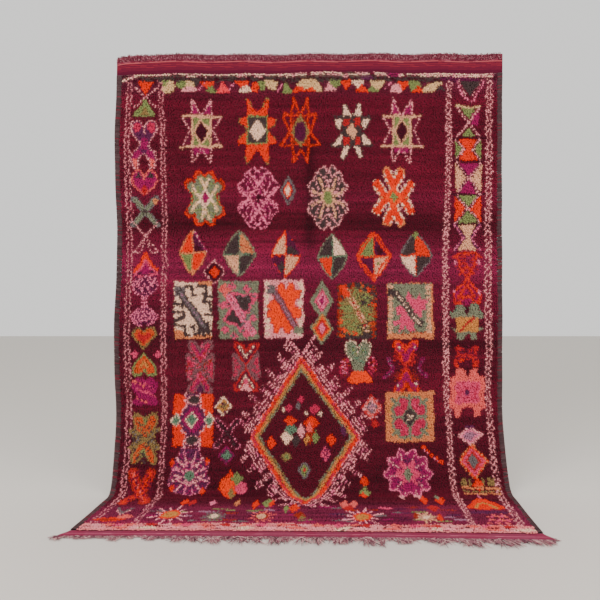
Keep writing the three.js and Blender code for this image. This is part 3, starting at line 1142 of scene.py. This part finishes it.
def give(mesh, name, kind, domain, values):
    """Puts a named value on every point or corner of a mesh."""
    layer = mesh.attributes.new(name, kind, domain)
    field = {"FLOAT_COLOR": "color", "FLOAT_VECTOR": "vector", "FLOAT2": "vector"}.get(kind, "value")
    layer.data.foreach_set(field, np.asarray(values, np.float32 if kind != "INT" else np.int32).ravel())


def corner_points(mesh):
    """The point that each face corner is at."""
    corners = np.empty(len(mesh.loops), np.int32)
    mesh.loops.foreach_get("vertex_index", corners)
    return corners


def with_alpha(colour):
    return np.concatenate([colour, np.ones(colour.shape[:-1] + (1,))], -1)


def woven_slab(name, across, along, thick, front_step, back_colour, front_colour):
    """A closed piece of cloth between lines across and along: its back in single knots, its front coarser."""
    sides = []
    first = 0
    for step, lift, mark in ((1, 0.0, 0), (front_step, thick, 1)):
        grid = np.meshgrid(across[::step], along[::step])
        index = first + np.arange(grid[0].size).reshape(grid[0].shape)
        cells = np.stack([index[:-1, :-1], index[:-1, 1:], index[1:, 1:], index[1:, :-1]], -1).reshape(-1, 4)
        places = np.stack([*grid, 0 * grid[1] + mark], -1).reshape(-1, 3)
        sides.append((on_cloth(*grid, lift).reshape(-1, 3), index, cells, places))
        first += index.size
    (back, back_at, back_cells, back_places), (front, front_at, front_cells, front_places) = sides

    def wall(fine, coarse):
        strips = [fine[i * front_step:(i + 1) * front_step + 1] for i in range(len(coarse) - 1)]
        return np.array([[coarse[i], *strip, coarse[i + 1]] for i, strip in enumerate(strips)])

    walls = [
        wall(back_at[:, 0], front_at[:, 0]), wall(back_at[:, -1], front_at[:, -1])[:, ::-1],
        wall(back_at[0], front_at[0])[:, ::-1], wall(back_at[-1], front_at[-1]),
    ]
    made = keep(mesh_object(name, np.concatenate([back, front]), [back_cells, front_cells[:, ::-1], *walls]))
    colours = np.concatenate([
        np.repeat(back_colour.reshape(-1, 3), 4, 0),
        np.repeat(front_colour.reshape(-1, 3), 4, 0),
        np.repeat(back_colour[:1, :1].reshape(1, 3), sum(part.size for part in walls), 0),
    ])
    give(made.data, "yarn_colour", "FLOAT_COLOR", "CORNER", with_alpha(colours))
    places = np.concatenate([back_places, front_places])
    give(made.data, "cloth_place", "FLOAT_VECTOR", "POINT", places)
    # the back and the front each take half of the sheet that colours are baked to
    corners = corner_points(made.data)
    flat = (places[corners, :2] - [across[0], along[0]]) / max(along[-1] - along[0], WIDTH)
    not_back = np.arange(len(corners)) >= back_cells.size
    tall = along[-1] - along[0] > 1
    flat = flat * ([0.49, 0.98] if tall else 0.98) + 0.01
    flat[:, 0 if tall else 1] += 0.5 * not_back
    give(made.data, "OFBake", "FLOAT2", "CORNER", flat)
    return made


def settle(node, settings):
    """Gives a node its settings, and its inputs the values they have where nothing is linked."""
    for key, value in settings.items():
        if str(key).islower():
            setattr(node, key, value)
        else:
            node.inputs[key].default_value = value


MATH = "ShaderNodeMath"
VECTOR_MATH = "ShaderNodeVectorMath"
ATTRIBUTE = "ShaderNodeAttribute"


def grown(tree, nodes, links):
    """Adds nodes, each a name, a kind and settings, and links written as 'node.socket > node.socket'."""
    for name, kind, settings in nodes:
        node = tree.nodes.new(kind)
        node.name = name
        settle(node, settings)
    for link in links.replace(";", "\n").strip().splitlines():
        ends = []
        for word, side in zip(link.split(">"), ("outputs", "inputs")):
            name, socket = word.strip().split(".")
            ends.append(getattr(tree.nodes[name], side)[int(socket) if socket.isdigit() else socket])
        tree.links.new(*ends)
    return tree


def new_group(name, kind, inputs, outputs, nodes, links):
    """A node group with named inputs and outputs."""
    tree = bpy.data.node_groups.new(name, kind)
    for direction, sockets in (("INPUT", inputs), ("OUTPUT", outputs)):
        for label, socket in sockets.items():
            tree.interface.new_socket(label, in_out=direction, socket_type="NodeSocket" + socket)
    ends = (("start", "NodeGroupInput", {}), ("end", "NodeGroupOutput", {}))
    return grown(tree, ends + nodes, links)


# Sets a small piece on every point: its turn, size, kind and colour come with the point.
SETTING = new_group(
    "set pieces on the cloth", "GeometryNodeTree",
    {"Places": "Geometry", "Pieces": "Collection", "Finish": "Material", "Size": "Float", "Cell": "Float"},
    {"Result": "Geometry"},
    (
        ("pieces", "GeometryNodeCollectionInfo", {"Separate Children": True, "Reset Children": True}),
        *((label, "GeometryNodeInputNamedAttribute", {"data_type": kind, "Name": label}) for label, kind in (
            ("kind", "INT"), ("turn", "FLOAT_VECTOR"), ("size", "FLOAT_VECTOR"),
            ("bake_cell", "FLOAT_VECTOR"), ("piece_flat", "FLOAT_VECTOR"))),
        ("turned", "FunctionNodeEulerToRotation", {}),
        ("sized", VECTOR_MATH, {"operation": "SCALE"}),
        ("setting", "GeometryNodeInstanceOnPoints", {"Pick Instance": True}),
        ("real", "GeometryNodeRealizeInstances", {}),
        ("small", VECTOR_MATH, {"operation": "SCALE"}),
        ("laid", VECTOR_MATH, {"operation": "ADD"}),
        ("baked", "GeometryNodeStoreNamedAttribute", {
            "data_type": "FLOAT2", "domain": "CORNER", "Name": "OFBake"}),
        ("finish", "GeometryNodeSetMaterial", {}),
    ),
    """
start.Places > setting.Points ; start.Pieces > pieces.Collection ; pieces.0 > setting.Instance
turn.Attribute > turned.0 ; turned.0 > setting.Rotation ; size.Attribute > sized.0 ; start.Size > sized.Scale
sized.0 > setting.Scale ; kind.Attribute > setting.Instance Index ; setting.0 > real.0
real.0 > baked.Geometry ; piece_flat.Attribute > small.0 ; start.Cell > small.Scale
small.0 > laid.0 ; bake_cell.Attribute > laid.1
laid.0 > baked.Value ; baked.0 > finish.Geometry ; start.Finish > finish.Material ; finish.0 > end.Result
""")


def small_piece(name, points, faces, tip):
    """A small shape that is set many times; tip runs from 0 at its root to 1 at its end, and the wool finish
    paints shade by it.
    """
    made = mesh_object(name, points, faces)
    give(made.data, "tip", "FLOAT", "POINT", tip)
    corners = corner_points(made.data)
    odd = np.arange(len(corners)) % 2
    flat = np.stack([0.2 + 0.6 * odd, 0.1 + 0.8 * np.asarray(tip)[corners], 0.0 * odd], -1)
    give(made.data, "piece_flat", "FLOAT_VECTOR", "CORNER", flat)
    return made


def tuft_shapes():
    """Three tufts of pile yarn: a point at the root that widens to a slanting cut end."""
    shapes = []
    for label, sway, cut in (("a", 0.0, 0.0), ("b", 0.2, -0.1), ("c", -0.22, 0.1)):
        middle = sway * 0.6
        points = [
            (0, 0, 0), (-0.5 + middle, 0.86 + cut, 0.0),
            (0.5 + middle, 0.90 - cut, 0.05), (0.04 + sway, 0.74, 0.98),
        ]
        faces = [np.array([(0, 2, 1), (0, 3, 2), (0, 1, 3), (3, 1, 2)])]
        # the tip values paint shade: darkest at the root, deep in the pile
        shapes.append(small_piece("tuft_" + label, points, faces, [0.0, 0.9, 0.9, 1.0]))
    return shapes


def wrap_shape(turns=10, sides=4):
    """One turn of the dark yarn that is overcast round the selvedge: a flattened ring."""
    points = []
    tip = []
    for a in np.arange(turns) / turns * 2 * np.pi:
        for b in np.arange(sides) / sides * 2 * np.pi:
            wide = 0.5 * np.cos(a) * (1 + 0.13 * np.cos(b))
            high = 0.5 * np.sin(a) * (1 + 0.3 * np.cos(b))
            points.append((wide, 0.62 * np.sin(b), high))
            # tip here paints shade: darker on the inner side of each turn, round the warps, and lighter on
            # its outer side
            tip.append(0.45 + 0.4 * np.cos(b))
    index = np.arange(turns * sides).reshape(turns, sides)
    onward = np.roll(index, -1, 0)
    faces = np.stack([index, onward, np.roll(onward, -1, 1), np.roll(index, -1, 1)], -1).reshape(-1, 4)
    return [small_piece("wrap", points, [faces], tip)]


def strand_shapes(sides=3, steps=6):
    """Three yarn ends for the fringe, wavy and thinner towards the tip."""
    shapes = []
    for label, sway, lift in (("a", 2.4, 1.0), ("b", -2.8, 0.7), ("c", 1.2, 1.4)):
        points = [(0, 0, 0)]
        # the tip values paint shade along the strand, darker towards its root
        tip = [0.2]
        for step in range(steps):
            share = step / (steps - 1)
            rise = lift * math.sin(share * math.pi) * 0.5
            middle = (sway * math.sin(share * 4.1), 0.02 + 0.94 * share, rise)
            thick = 0.5 * (1 - 0.45 * share**3) * (0.8 if step == 0 else 1)
            for b in np.arange(sides) / sides * 2 * np.pi + share:
                points.append((middle[0] + thick * np.cos(b), middle[1], middle[2] + thick * np.sin(b)))
                tip.append(0.45 + 0.5 * share)
        points.append((sway * math.sin(4.1) * 1.1, 1.0, 0.0))
        tip.append(1.0)
        faces = []
        caps = []
        for b in range(sides):
            c = (b + 1) % sides
            last = 1 + (steps - 1) * sides
            caps += [(0, 1 + b, 1 + c), (len(points) - 1, last + c, last + b)]
            for low in range(1, last, sides):
                faces.append((low + b, low + sides + b, low + sides + c, low + c))
        shapes.append(small_piece("strand_" + label, points, [np.array(caps), np.array(faces)], tip))
    return shapes


def outward(shapes):
    """Turns a shape's faces round if they point inwards."""
    for shape in shapes:
        mesh = shape.data
        volume = 0.0
        for face in mesh.polygons:
            corners = [mesh.vertices[i].co for i in face.vertices]
            for second, third in zip(corners[1:], corners[2:]):
                volume += corners[0].dot(second.cross(third))
        if volume < 0:
            mesh.flip_normals()
    return shapes


def turns_on_cloth(spots, yaw, pitch):
    """The turns of pieces that lie on the cloth, turned rightwards in its plane and then tipped out of it."""
    to_left, to_foot, out = cloth_frame(*spots)
    yaw = yaw[:, None]
    pitch = pitch[:, None]
    side = to_left * np.cos(yaw) + to_foot * np.sin(yaw)
    down = to_foot * np.cos(yaw) - to_left * np.sin(yaw)
    foot = down * np.cos(pitch) + out * np.sin(pitch)
    out = out * np.cos(pitch) - down * np.sin(pitch)
    x = np.arctan2(foot[:, 2], out[:, 2])
    y = -np.arcsin(np.clip(side[:, 2], -1, 1))
    return np.stack([x, y, np.arctan2(side[:, 1], side[:, 0])], -1)


def finished(piece, material=None):
    """Gives a piece its material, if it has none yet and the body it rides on."""
    if material:
        piece.data.materials.append(material)
    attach(piece, "root")
    return piece


def set_pieces(name, finish, shapes, spots, yaw, pitch, sizes, colours, kinds):
    """Sets small shapes at spots on the rug, across, along and above its back, as one plain mesh."""
    places = on_cloth(*spots)
    mesh = bare_mesh(name + "_places", places)
    holder = keep(bpy.data.objects.new(name + "_places", mesh))
    give(mesh, "turn", "FLOAT_VECTOR", "POINT", turns_on_cloth(spots, yaw, pitch))
    give(mesh, "size", "FLOAT_VECTOR", "POINT", np.stack(sizes, -1))
    give(mesh, "kind", "INT", "POINT", kinds)
    give(mesh, "yarn_colour", "FLOAT_COLOR", "POINT", with_alpha(colours))
    side = math.ceil(math.sqrt(len(places)))
    cell = 1 / side
    order = np.arange(len(places))
    bake_cells = np.stack([order % side * cell, order // side * cell, 0.0 * order], -1)
    give(mesh, "bake_cell", "FLOAT_VECTOR", "POINT", bake_cells)
    tray = bpy.data.collections.new(name + "_shapes")
    for shape in outward(shapes):
        tray.objects.link(shape)
    setter = holder.modifiers.new("setting", "NODES")
    setter.node_group = SETTING
    values = {"Pieces": tray, "Finish": finish, "Size": 1.0, "Cell": cell}
    for item in SETTING.interface.items_tree:
        if item.item_type == "SOCKET" and item.name in values:
            setter[item.identifier] = values[item.name]
    holder.update_tag()
    bpy.context.view_layer.update()
    result = bpy.data.meshes.new_from_object(holder.evaluated_get(bpy.context.evaluated_depsgraph_get()))
    result.name = name
    for label in ("turn", "size", "kind", "bake_cell", "piece_flat"):
        if label in result.attributes:
            result.attributes.remove(result.attributes[label])
    holder.modifiers.remove(setter)
    bpy.data.objects.remove(holder)
    bpy.data.collections.remove(tray)
    return finished(keep(bpy.data.objects.new(name, result)))


# Wool yarn: darker at its root as painted shade deep in the pile and a little lighter at its end as painted
# light, uneven in its dye, with fine fibres that break up the light.
WOOL = new_group(
    "wool yarn", "ShaderNodeTree",
    {"Dye": "Color", "Tip": "Float", "Root shade": "Float", "Fibre size": "Float", "Unevenness": "Float"},
    {"Colour": "Color", "Fibres": "Float"},
    (
        ("place", "ShaderNodeTexCoord", {}), ("fibres", "ShaderNodeTexNoise", {"Detail": 2.0}),
        ("shade", "ShaderNodeMapRange", {"To Max": 1.08}),
        ("uneven", "ShaderNodeMapRange", {"From Min": 0.25, "From Max": 0.75}),
        ("below", MATH, {"operation": "SUBTRACT", 0: 1.0}), ("above", MATH, {"operation": "ADD", 0: 1.0}),
        ("both", MATH, {"operation": "MULTIPLY"}), ("dyed", VECTOR_MATH, {"operation": "SCALE"}),
    ),
    """
place.Object > fibres.Vector ; start.Fibre size > fibres.Scale ; start.Tip > shade.Value
start.Root shade > shade.To Min ; start.Unevenness > below.1 ; start.Unevenness > above.1
fibres.0 > uneven.Value ; below.0 > uneven.To Min ; above.0 > uneven.To Max ; shade.0 > both.0
uneven.0 > both.1 ; start.Dye > dyed.0 ; both.0 > dyed.Scale ; dyed.0 > end.Colour ; fibres.0 > end.Fibres
""")


def new_material(name, settings):
    material = bpy.data.materials.new(name)
    material.use_nodes = True
    settle(material.node_tree.nodes["Principled BSDF"], settings)
    return material


def wool_finish(name, root_shade, fibre_size, unevenness, bump, sheen, has_tip=True):
    """Wool in the colour of its yarn; where the mesh has a tip value, the yarn is darker at its root, a
    painted shade.
    """
    material = new_material(name, {
        "Roughness": 0.92, "Specular IOR Level": 0.06, "Sheen Weight": sheen, "Sheen Roughness": 0.45,
        "Sheen Tint": (1.0, 0.6, 0.66, 1.0)})
    grown(material.node_tree, (
        ("dye", ATTRIBUTE, {"attribute_name": "yarn_colour"}),
        ("wool", "ShaderNodeGroup", {
            "node_tree": WOOL, "Tip": 1.0, "Root shade": root_shade, "Fibre size": fibre_size,
            "Unevenness": unevenness}),
        ("relief", "ShaderNodeBump", {"Strength": bump, "Distance": 0.001}),
    ), """
dye.Color > wool.Dye ; wool.Colour > Principled BSDF.Base Color
wool.Fibres > relief.Height ; relief.Normal > Principled BSDF.Normal
""")
    if has_tip:
        grown(material.node_tree, [("tip", ATTRIBUTE, {"attribute_name": "tip"})], "tip.Fac > wool.Tip")
    return material


def woven_finish(name, bump, across, along):
    """A weave seen as rows: each way has the pitch of its bands of yarn, their share and the gaps' shade."""
    material = wool_finish(name, 1.0, 900.0, 0.12, bump, 0.12, has_tip=False)
    nodes = [
        ("place", ATTRIBUTE, {"attribute_name": "cloth_place"}), ("split", "ShaderNodeSeparateXYZ", {}),
        ("both", MATH, {"operation": "MULTIPLY"}), ("shaded", VECTOR_MATH, {"operation": "SCALE"}),
    ]
    for axis, (pitch, share, gap_shade) in (("X", across), ("Y", along)):
        nodes += [
            ("turn " + axis, MATH, {"operation": "MULTIPLY", 1: 2 * math.pi / pitch}),
            ("wave " + axis, MATH, {"operation": "COSINE"}),
            ("mask " + axis, "ShaderNodeMapRange", {
                "interpolation_type": "SMOOTHSTEP", "From Min": -1.0 + 2 * share,
                "From Max": -0.2 + 2 * share, "To Min": 1.0, "To Max": gap_shade}),
        ]
    grown(material.node_tree, nodes, """
place.Vector > split.0 ; split.X > turn X.0 ; turn X.0 > wave X.0 ; wave X.0 > mask X.Value
split.Y > turn Y.0 ; turn Y.0 > wave Y.0 ; wave Y.0 > mask Y.Value ; mask Y.0 > both.0 ; mask X.0 > both.1
wool.Colour > shaded.0 ; both.0 > shaded.Scale ; shaded.0 > Principled BSDF.Base Color
both.0 > relief.Height
""")
    return material


rng = np.random.default_rng(1960)
rug = tied_rug(rng)
knot_colours = shared_with_neighbours(as_light(rug.colour), 0.24)

pile_wool = wool_finish("pile_wool", 0.80, 700.0, 0.06, 0.2, 0.05)
fringe_wool = wool_finish("fringe_wool", 0.7, 900.0, 0.2, 0.3, 0.15)
selvedge_wool = wool_finish("selvedge_wool", 0.45, 900.0, 0.2, 0.3, 0.12)
two_knots = (PILE_WIDTH / GROUND_CELLS[0] / 2, 0.55, 0.72)
knotted_back = woven_finish("knotted_back", 0.5, two_knots, (PILE_LENGTH / GROUND_CELLS[1], 0.42, 0.3))
flat_weave = woven_finish("flat_weave", 0.6, (0.0062, 0.6, 0.86), (0.0026, 0.5, 0.66))


def knotted_ground(coarser=5):
    """The woven ground: its back shows every knot, its front is hidden by the pile."""
    columns, rows = GROUND_CELLS
    across = np.linspace(-PILE_WIDTH / 2, PILE_WIDTH / 2, columns + 1)
    along = np.linspace(HEAD_BAND, FIELD_FOOT, rows + 1)
    nearest_row = ((np.arange(rows) + 0.5) * ROWS / rows).astype(int)
    nearest_column = ((np.arange(columns) + 0.5) * COLUMNS / columns).astype(int)
    seen = knot_colours[np.ix_(nearest_row, nearest_column)]
    # the front, seen only between the tufts, is darkened as painted shade under the pile
    front = seen.reshape(rows // coarser, coarser, columns // coarser, coarser, 3).mean((1, 3)) * 0.85
    made = woven_slab("knotted_ground", across, along, WEAVE_THICK, coarser, seen * 0.9, front)
    return finished(made, knotted_back)


# How the pile lies, in metres and radians: how far a tuft strays from its knot, how far it hangs below
# it, how high its root is, how much it stands up and turns, and how near the head band tufts are short.
STRAY_ACROSS = 0.0009
STRAY_ALONG = 0.0012
HANG = 0.002
ROOT_LIFT = 0.0032
STAND = 0.36
STAND_UNEVEN = 0.06
TURN_UNEVEN = 0.11
SHORT_TUFTS = 0.0045


def pile(first_row, last_row, name):
    """The tufts of some rows of knots, all lying towards the foot, each a little its own way."""
    count = (last_row - first_row) * COLUMNS
    across = rug.across[first_row:last_row].ravel() / 1000
    along = rug.down[first_row:last_row].ravel() / 1000
    across = across + rng.normal(0, STRAY_ACROSS, count)
    along = along + rng.normal(0, STRAY_ALONG, count) - HANG
    near_head = np.clip(1 - (along - HEAD_BAND) / 0.04, 0, 1)
    along = along - 0.008 * near_head * np.exp(-((across - 0.10) / 0.22) ** 2) - 0.002 * near_head
    stroked = 0.16 * np.sin(across / 0.13 + along / 0.31) * np.sin(along / 0.19 - across / 0.4)
    yaw = stroked + rng.normal(0, TURN_UNEVEN, count)
    pitch = STAND + rng.normal(0, STAND_UNEVEN, count)
    wide = TUFT_WIDTH * rng.uniform(0.8, 1.25, count)
    long = TUFT_LENGTH * rng.uniform(0.78, 1.18, count)
    deep = TUFT_DEPTH * rng.uniform(0.8, 1.25, count)
    long *= np.where(along < HEAD_BAND + SHORT_TUFTS, rng.uniform(0.5, 0.85, count), 1)
    colours = knot_colours[first_row:last_row].reshape(-1, 3)
    colours = colours * np.exp(rng.normal(0, 0.045, (count, 1)) + rng.normal(0, 0.02, (count, 3)))
    return set_pieces(name, pile_wool, tuft_shapes(), (across, along, ROOT_LIFT), yaw, pitch,
                      (wide, long, deep), colours, rng.integers(0, 3, count))


def head_colour(across, along):
    """The head band: a flecked fuzzy strip, a thin pale line, red streaks, then plain wine."""
    along = along * 1000
    fleck = rng.normal(0, 1, across.shape)
    fleck = fleck + 0.8 * soft_noise(rng, *across.shape, 4, 3)
    streak = np.sin(along * 0.7 + np.sin(across / 0.09) * 0.9) + 0.5 * np.sin(across / 0.017 + along)
    strip = along < 33
    colour = np.full(across.shape + (3,), (92.0, 21.0, 42.0))
    for where, yarn in (
        ((along > 38) & (along < 62) & (streak > 0.2), (124, 33, 47)),
        ((along > 62) & (streak > 0.8), (102, 24, 42)),
        (along > 76, (80, 16, 38)),
        (strip, (112, 36, 54)),
        (strip & (fleck > 0.8), (136, 66, 80)),
        (strip & (fleck < -0.7), (92, 24, 42)),
        (np.abs(along - 35 - 1.6 * np.sin(across / 0.05)) < 1.9, (162, 74, 76)),
    ):
        colour[where] = yarn
    return as_light(colour)


def foot_colour(across, along):
    """The foot band: streaks in three reds and one pale line."""
    streak = np.sin(along * 1300 + np.sin(across * 14))
    colour = np.full(across.shape + (3,), (128.0, 26.0, 62.0))
    colour[streak > 0.5] = (152, 50, 84)
    colour[streak < -0.5] = (98, 20, 48)
    colour[np.abs(along - LENGTH + 0.019 - 0.0012 * np.sin(across / 0.06)) < 0.0015] = (190, 96, 118)
    return as_light(colour)


def flat_band(name, along_from, along_to, colour_at, columns=300, row=0.0024):
    """A flat-woven band right across the rug, in cells small enough for its streaks."""
    across = np.linspace(-WIDTH / 2, WIDTH / 2, columns + 1)
    along = np.linspace(along_from, along_to, int((along_to - along_from) / row) + 1)
    middles = np.meshgrid((across[1:] + across[:-1]) / 2, (along[1:] + along[:-1]) / 2)
    colours = colour_at(*middles)
    made = woven_slab(name, across, along, BAND_THICK, 1, colours, colours)
    return finished(made, flat_weave)


# the turns of yarn round the selvedges: how far apart, how wide, how high their middle is and how they slant
WRAP_PITCH = 0.0054
WRAP_WIDTH = 0.0265
WRAP_LIFT = 0.0056
WRAP_SLANT = 0.16


def selvedge(name, side):
    """The dark edge: yarn overcast in close turns round the outer warps, from band to band."""
    count = int(PILE_LENGTH / WRAP_PITCH)
    along = HEAD_BAND + (np.arange(count) + 0.5) * PILE_LENGTH / count
    across = np.full(count, side * (WIDTH - SELVEDGE_WIDTH - 0.003) / 2) + 0.0008 * np.sin(along * 21) * side
    colours = as_light(np.full((count, 3), (70.0, 50.0, 52.0))) * np.exp(rng.normal(0, 0.22, (count, 1)))
    colours[rng.random(count) < 0.12] = as_light((104, 34, 46))
    wide = np.full(count, WRAP_WIDTH)
    sizes = (wide, rng.uniform(0.0042, 0.0052, count), rng.uniform(0.0068, 0.0084, count))
    yaw = WRAP_SLANT * side + rng.normal(0, 0.05, count)
    none = np.zeros(count)
    return set_pieces(name, selvedge_wool, wrap_shape(), (across, along, WRAP_LIFT), yaw, none,
                      sizes, colours, none)


def mixed(count, yarns, shares):
    """The colours of many yarns, picked from a few by their shares."""
    return as_light(np.array(yarns, float))[rng.choice(len(yarns), count, p=shares)]


def head_fuzz(count=5200):
    """Short cut ends that stand up from the head band's flecked strip and over its edge."""
    across = rng.uniform(-WIDTH / 2 + 0.004, WIDTH / 2 - 0.004, count)
    along = rng.uniform(0.001, 0.030, count)
    lift = np.full(count, BAND_THICK - 0.0006)
    yarns = ((122, 40, 60), (88, 22, 42), (166, 98, 110), (190, 138, 142))
    colours = mixed(count, yarns, (0.42, 0.28, 0.2, 0.1))
    sizes = [rng.uniform(*limits, count) for limits in ((0.0024, 0.0038), (0.006, 0.011), (0.0018, 0.003))]
    yaw = np.pi + rng.normal(0, 0.3, count)
    pitch = rng.uniform(0.1, 0.5, count)
    return set_pieces("head_fuzz", fringe_wool, tuft_shapes(), (across, along, lift), yaw, pitch,
                      sizes, colours, rng.integers(0, 3, count))


# how long the fringe is on average: a place across the rug from its middle, then a length, in metres
FRINGE_FULLNESS = (
    (-0.925, 0.044), (-0.820, 0.020), (-0.740, 0.046), (-0.640, 0.017), (-0.520, 0.042),
    (-0.300, 0.050), (0.060, 0.052), (0.330, 0.058), (0.430, 0.030), (0.560, 0.056),
    (0.740, 0.062), (0.860, 0.044), (0.925, 0.030),
)


def fringe(locks=168, strands=10):
    """The warp ends past the foot band: loose locks of a few strands each, flat on the floor."""
    count = locks * strands
    lock = np.repeat(np.arange(locks), strands)
    middle = -WIDTH / 2 + (lock + 0.5) * WIDTH / locks
    side = middle / (WIDTH / 2)
    fan = 1.25 * np.sign(side) * np.abs(side) ** 40
    sweep = lock * 0.86 + 1.7 * np.sin(lock * 0.29)
    across = middle + rng.normal(0, 0.0030, count)
    fullness = np.interp(middle, *zip(*FRINGE_FULLNESS))
    fullness *= 0.9 + 0.42 * np.sin(sweep) + 0.12 * np.sin(lock * 5.1)
    length = fullness * rng.uniform(0.8, 1.2, count)
    yaw = 0.35 * np.cos(sweep) + 0.3 * np.sin(lock * 1.7) + fan + rng.normal(0, 0.24, count)
    pitch = rng.uniform(0.0, 0.06, count)
    lift = rng.uniform(0.0020, 0.0036, count)
    along = np.full(count, LENGTH - 0.001)
    yarns = ((168, 114, 120), (128, 66, 84), (214, 170, 166), (78, 36, 52))
    colours = mixed(count, yarns, (0.34, 0.28, 0.22, 0.16)) * np.exp(rng.normal(0, 0.14, (count, 1)))
    sizes = (rng.uniform(0.0022, 0.0034, count), length, rng.uniform(0.0020, 0.0030, count))
    return set_pieces("foot_yarns", fringe_wool, strand_shapes(), (across, along, lift), yaw, pitch,
                      sizes, colours, rng.integers(0, 3, count))


ground = knotted_ground()
cuts = [0, 96, 192, 288, ROWS]
pile_pieces = [pile(cuts[i], cuts[i + 1], f"pile_{i + 1}") for i in range(4)]
head_band = flat_band("head_band", 0.0, HEAD_BAND, head_colour)
foot_band = flat_band("foot_band", FIELD_FOOT, LENGTH, foot_colour)
selvedges = [selvedge("selvedge_left", -1), selvedge("selvedge_right", 1)]
yarn_ends = fringe()
fuzz = head_fuzz()
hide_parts("rug_cloth")
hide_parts("foot_fringe")


def plain_floor(size=9.0, level=-0.0005):
    """The pale floor, a stage that is no part of the rug."""
    corners = [(-size, -size, level), (size, -size, level), (size, size, level), (-size, size, level)]
    made = keep(mesh_object("floor", corners, [np.array([(0, 1, 2, 3)])]))
    paint = new_material("floor_paint", {"Base Color": (0.62, 0.58, 0.53, 1.0), "Roughness": 0.7})
    made.data.materials.append(paint)


def soft_light(name, place, aim, size, power, warmth):
    """A large soft lamp at a place, turned towards its aim."""
    data = bpy.data.lights.new(name, "AREA")
    data.shape = "RECTANGLE"
    data.size, data.size_y = size
    data.energy = power
    data.color = warmth
    lamp = keep(bpy.data.objects.new(name, data))
    lamp.location = place
    direction = Vector(aim) - lamp.location
    lamp.rotation_euler = direction.to_track_quat("-Z", "Y").to_euler()


plain_floor()
world = bpy.data.worlds.new("pale_room")
world.use_nodes = True
settle(world.node_tree.nodes["Background"], {"Color": (0.93, 0.92, 0.90, 1.0), "Strength": 1.15})
bpy.context.scene.world = world
soft_light("window", (-2.6, -3.2, 3.2), (0, 0.2, 1.0), (2.6, 2.2), 190.0, (1.0, 0.99, 0.98))
soft_light("fill", (2.8, -2.4, 2.0), (0, 0.2, 0.8), (2.4, 2.4), 90.0, (1.0, 0.98, 0.98))
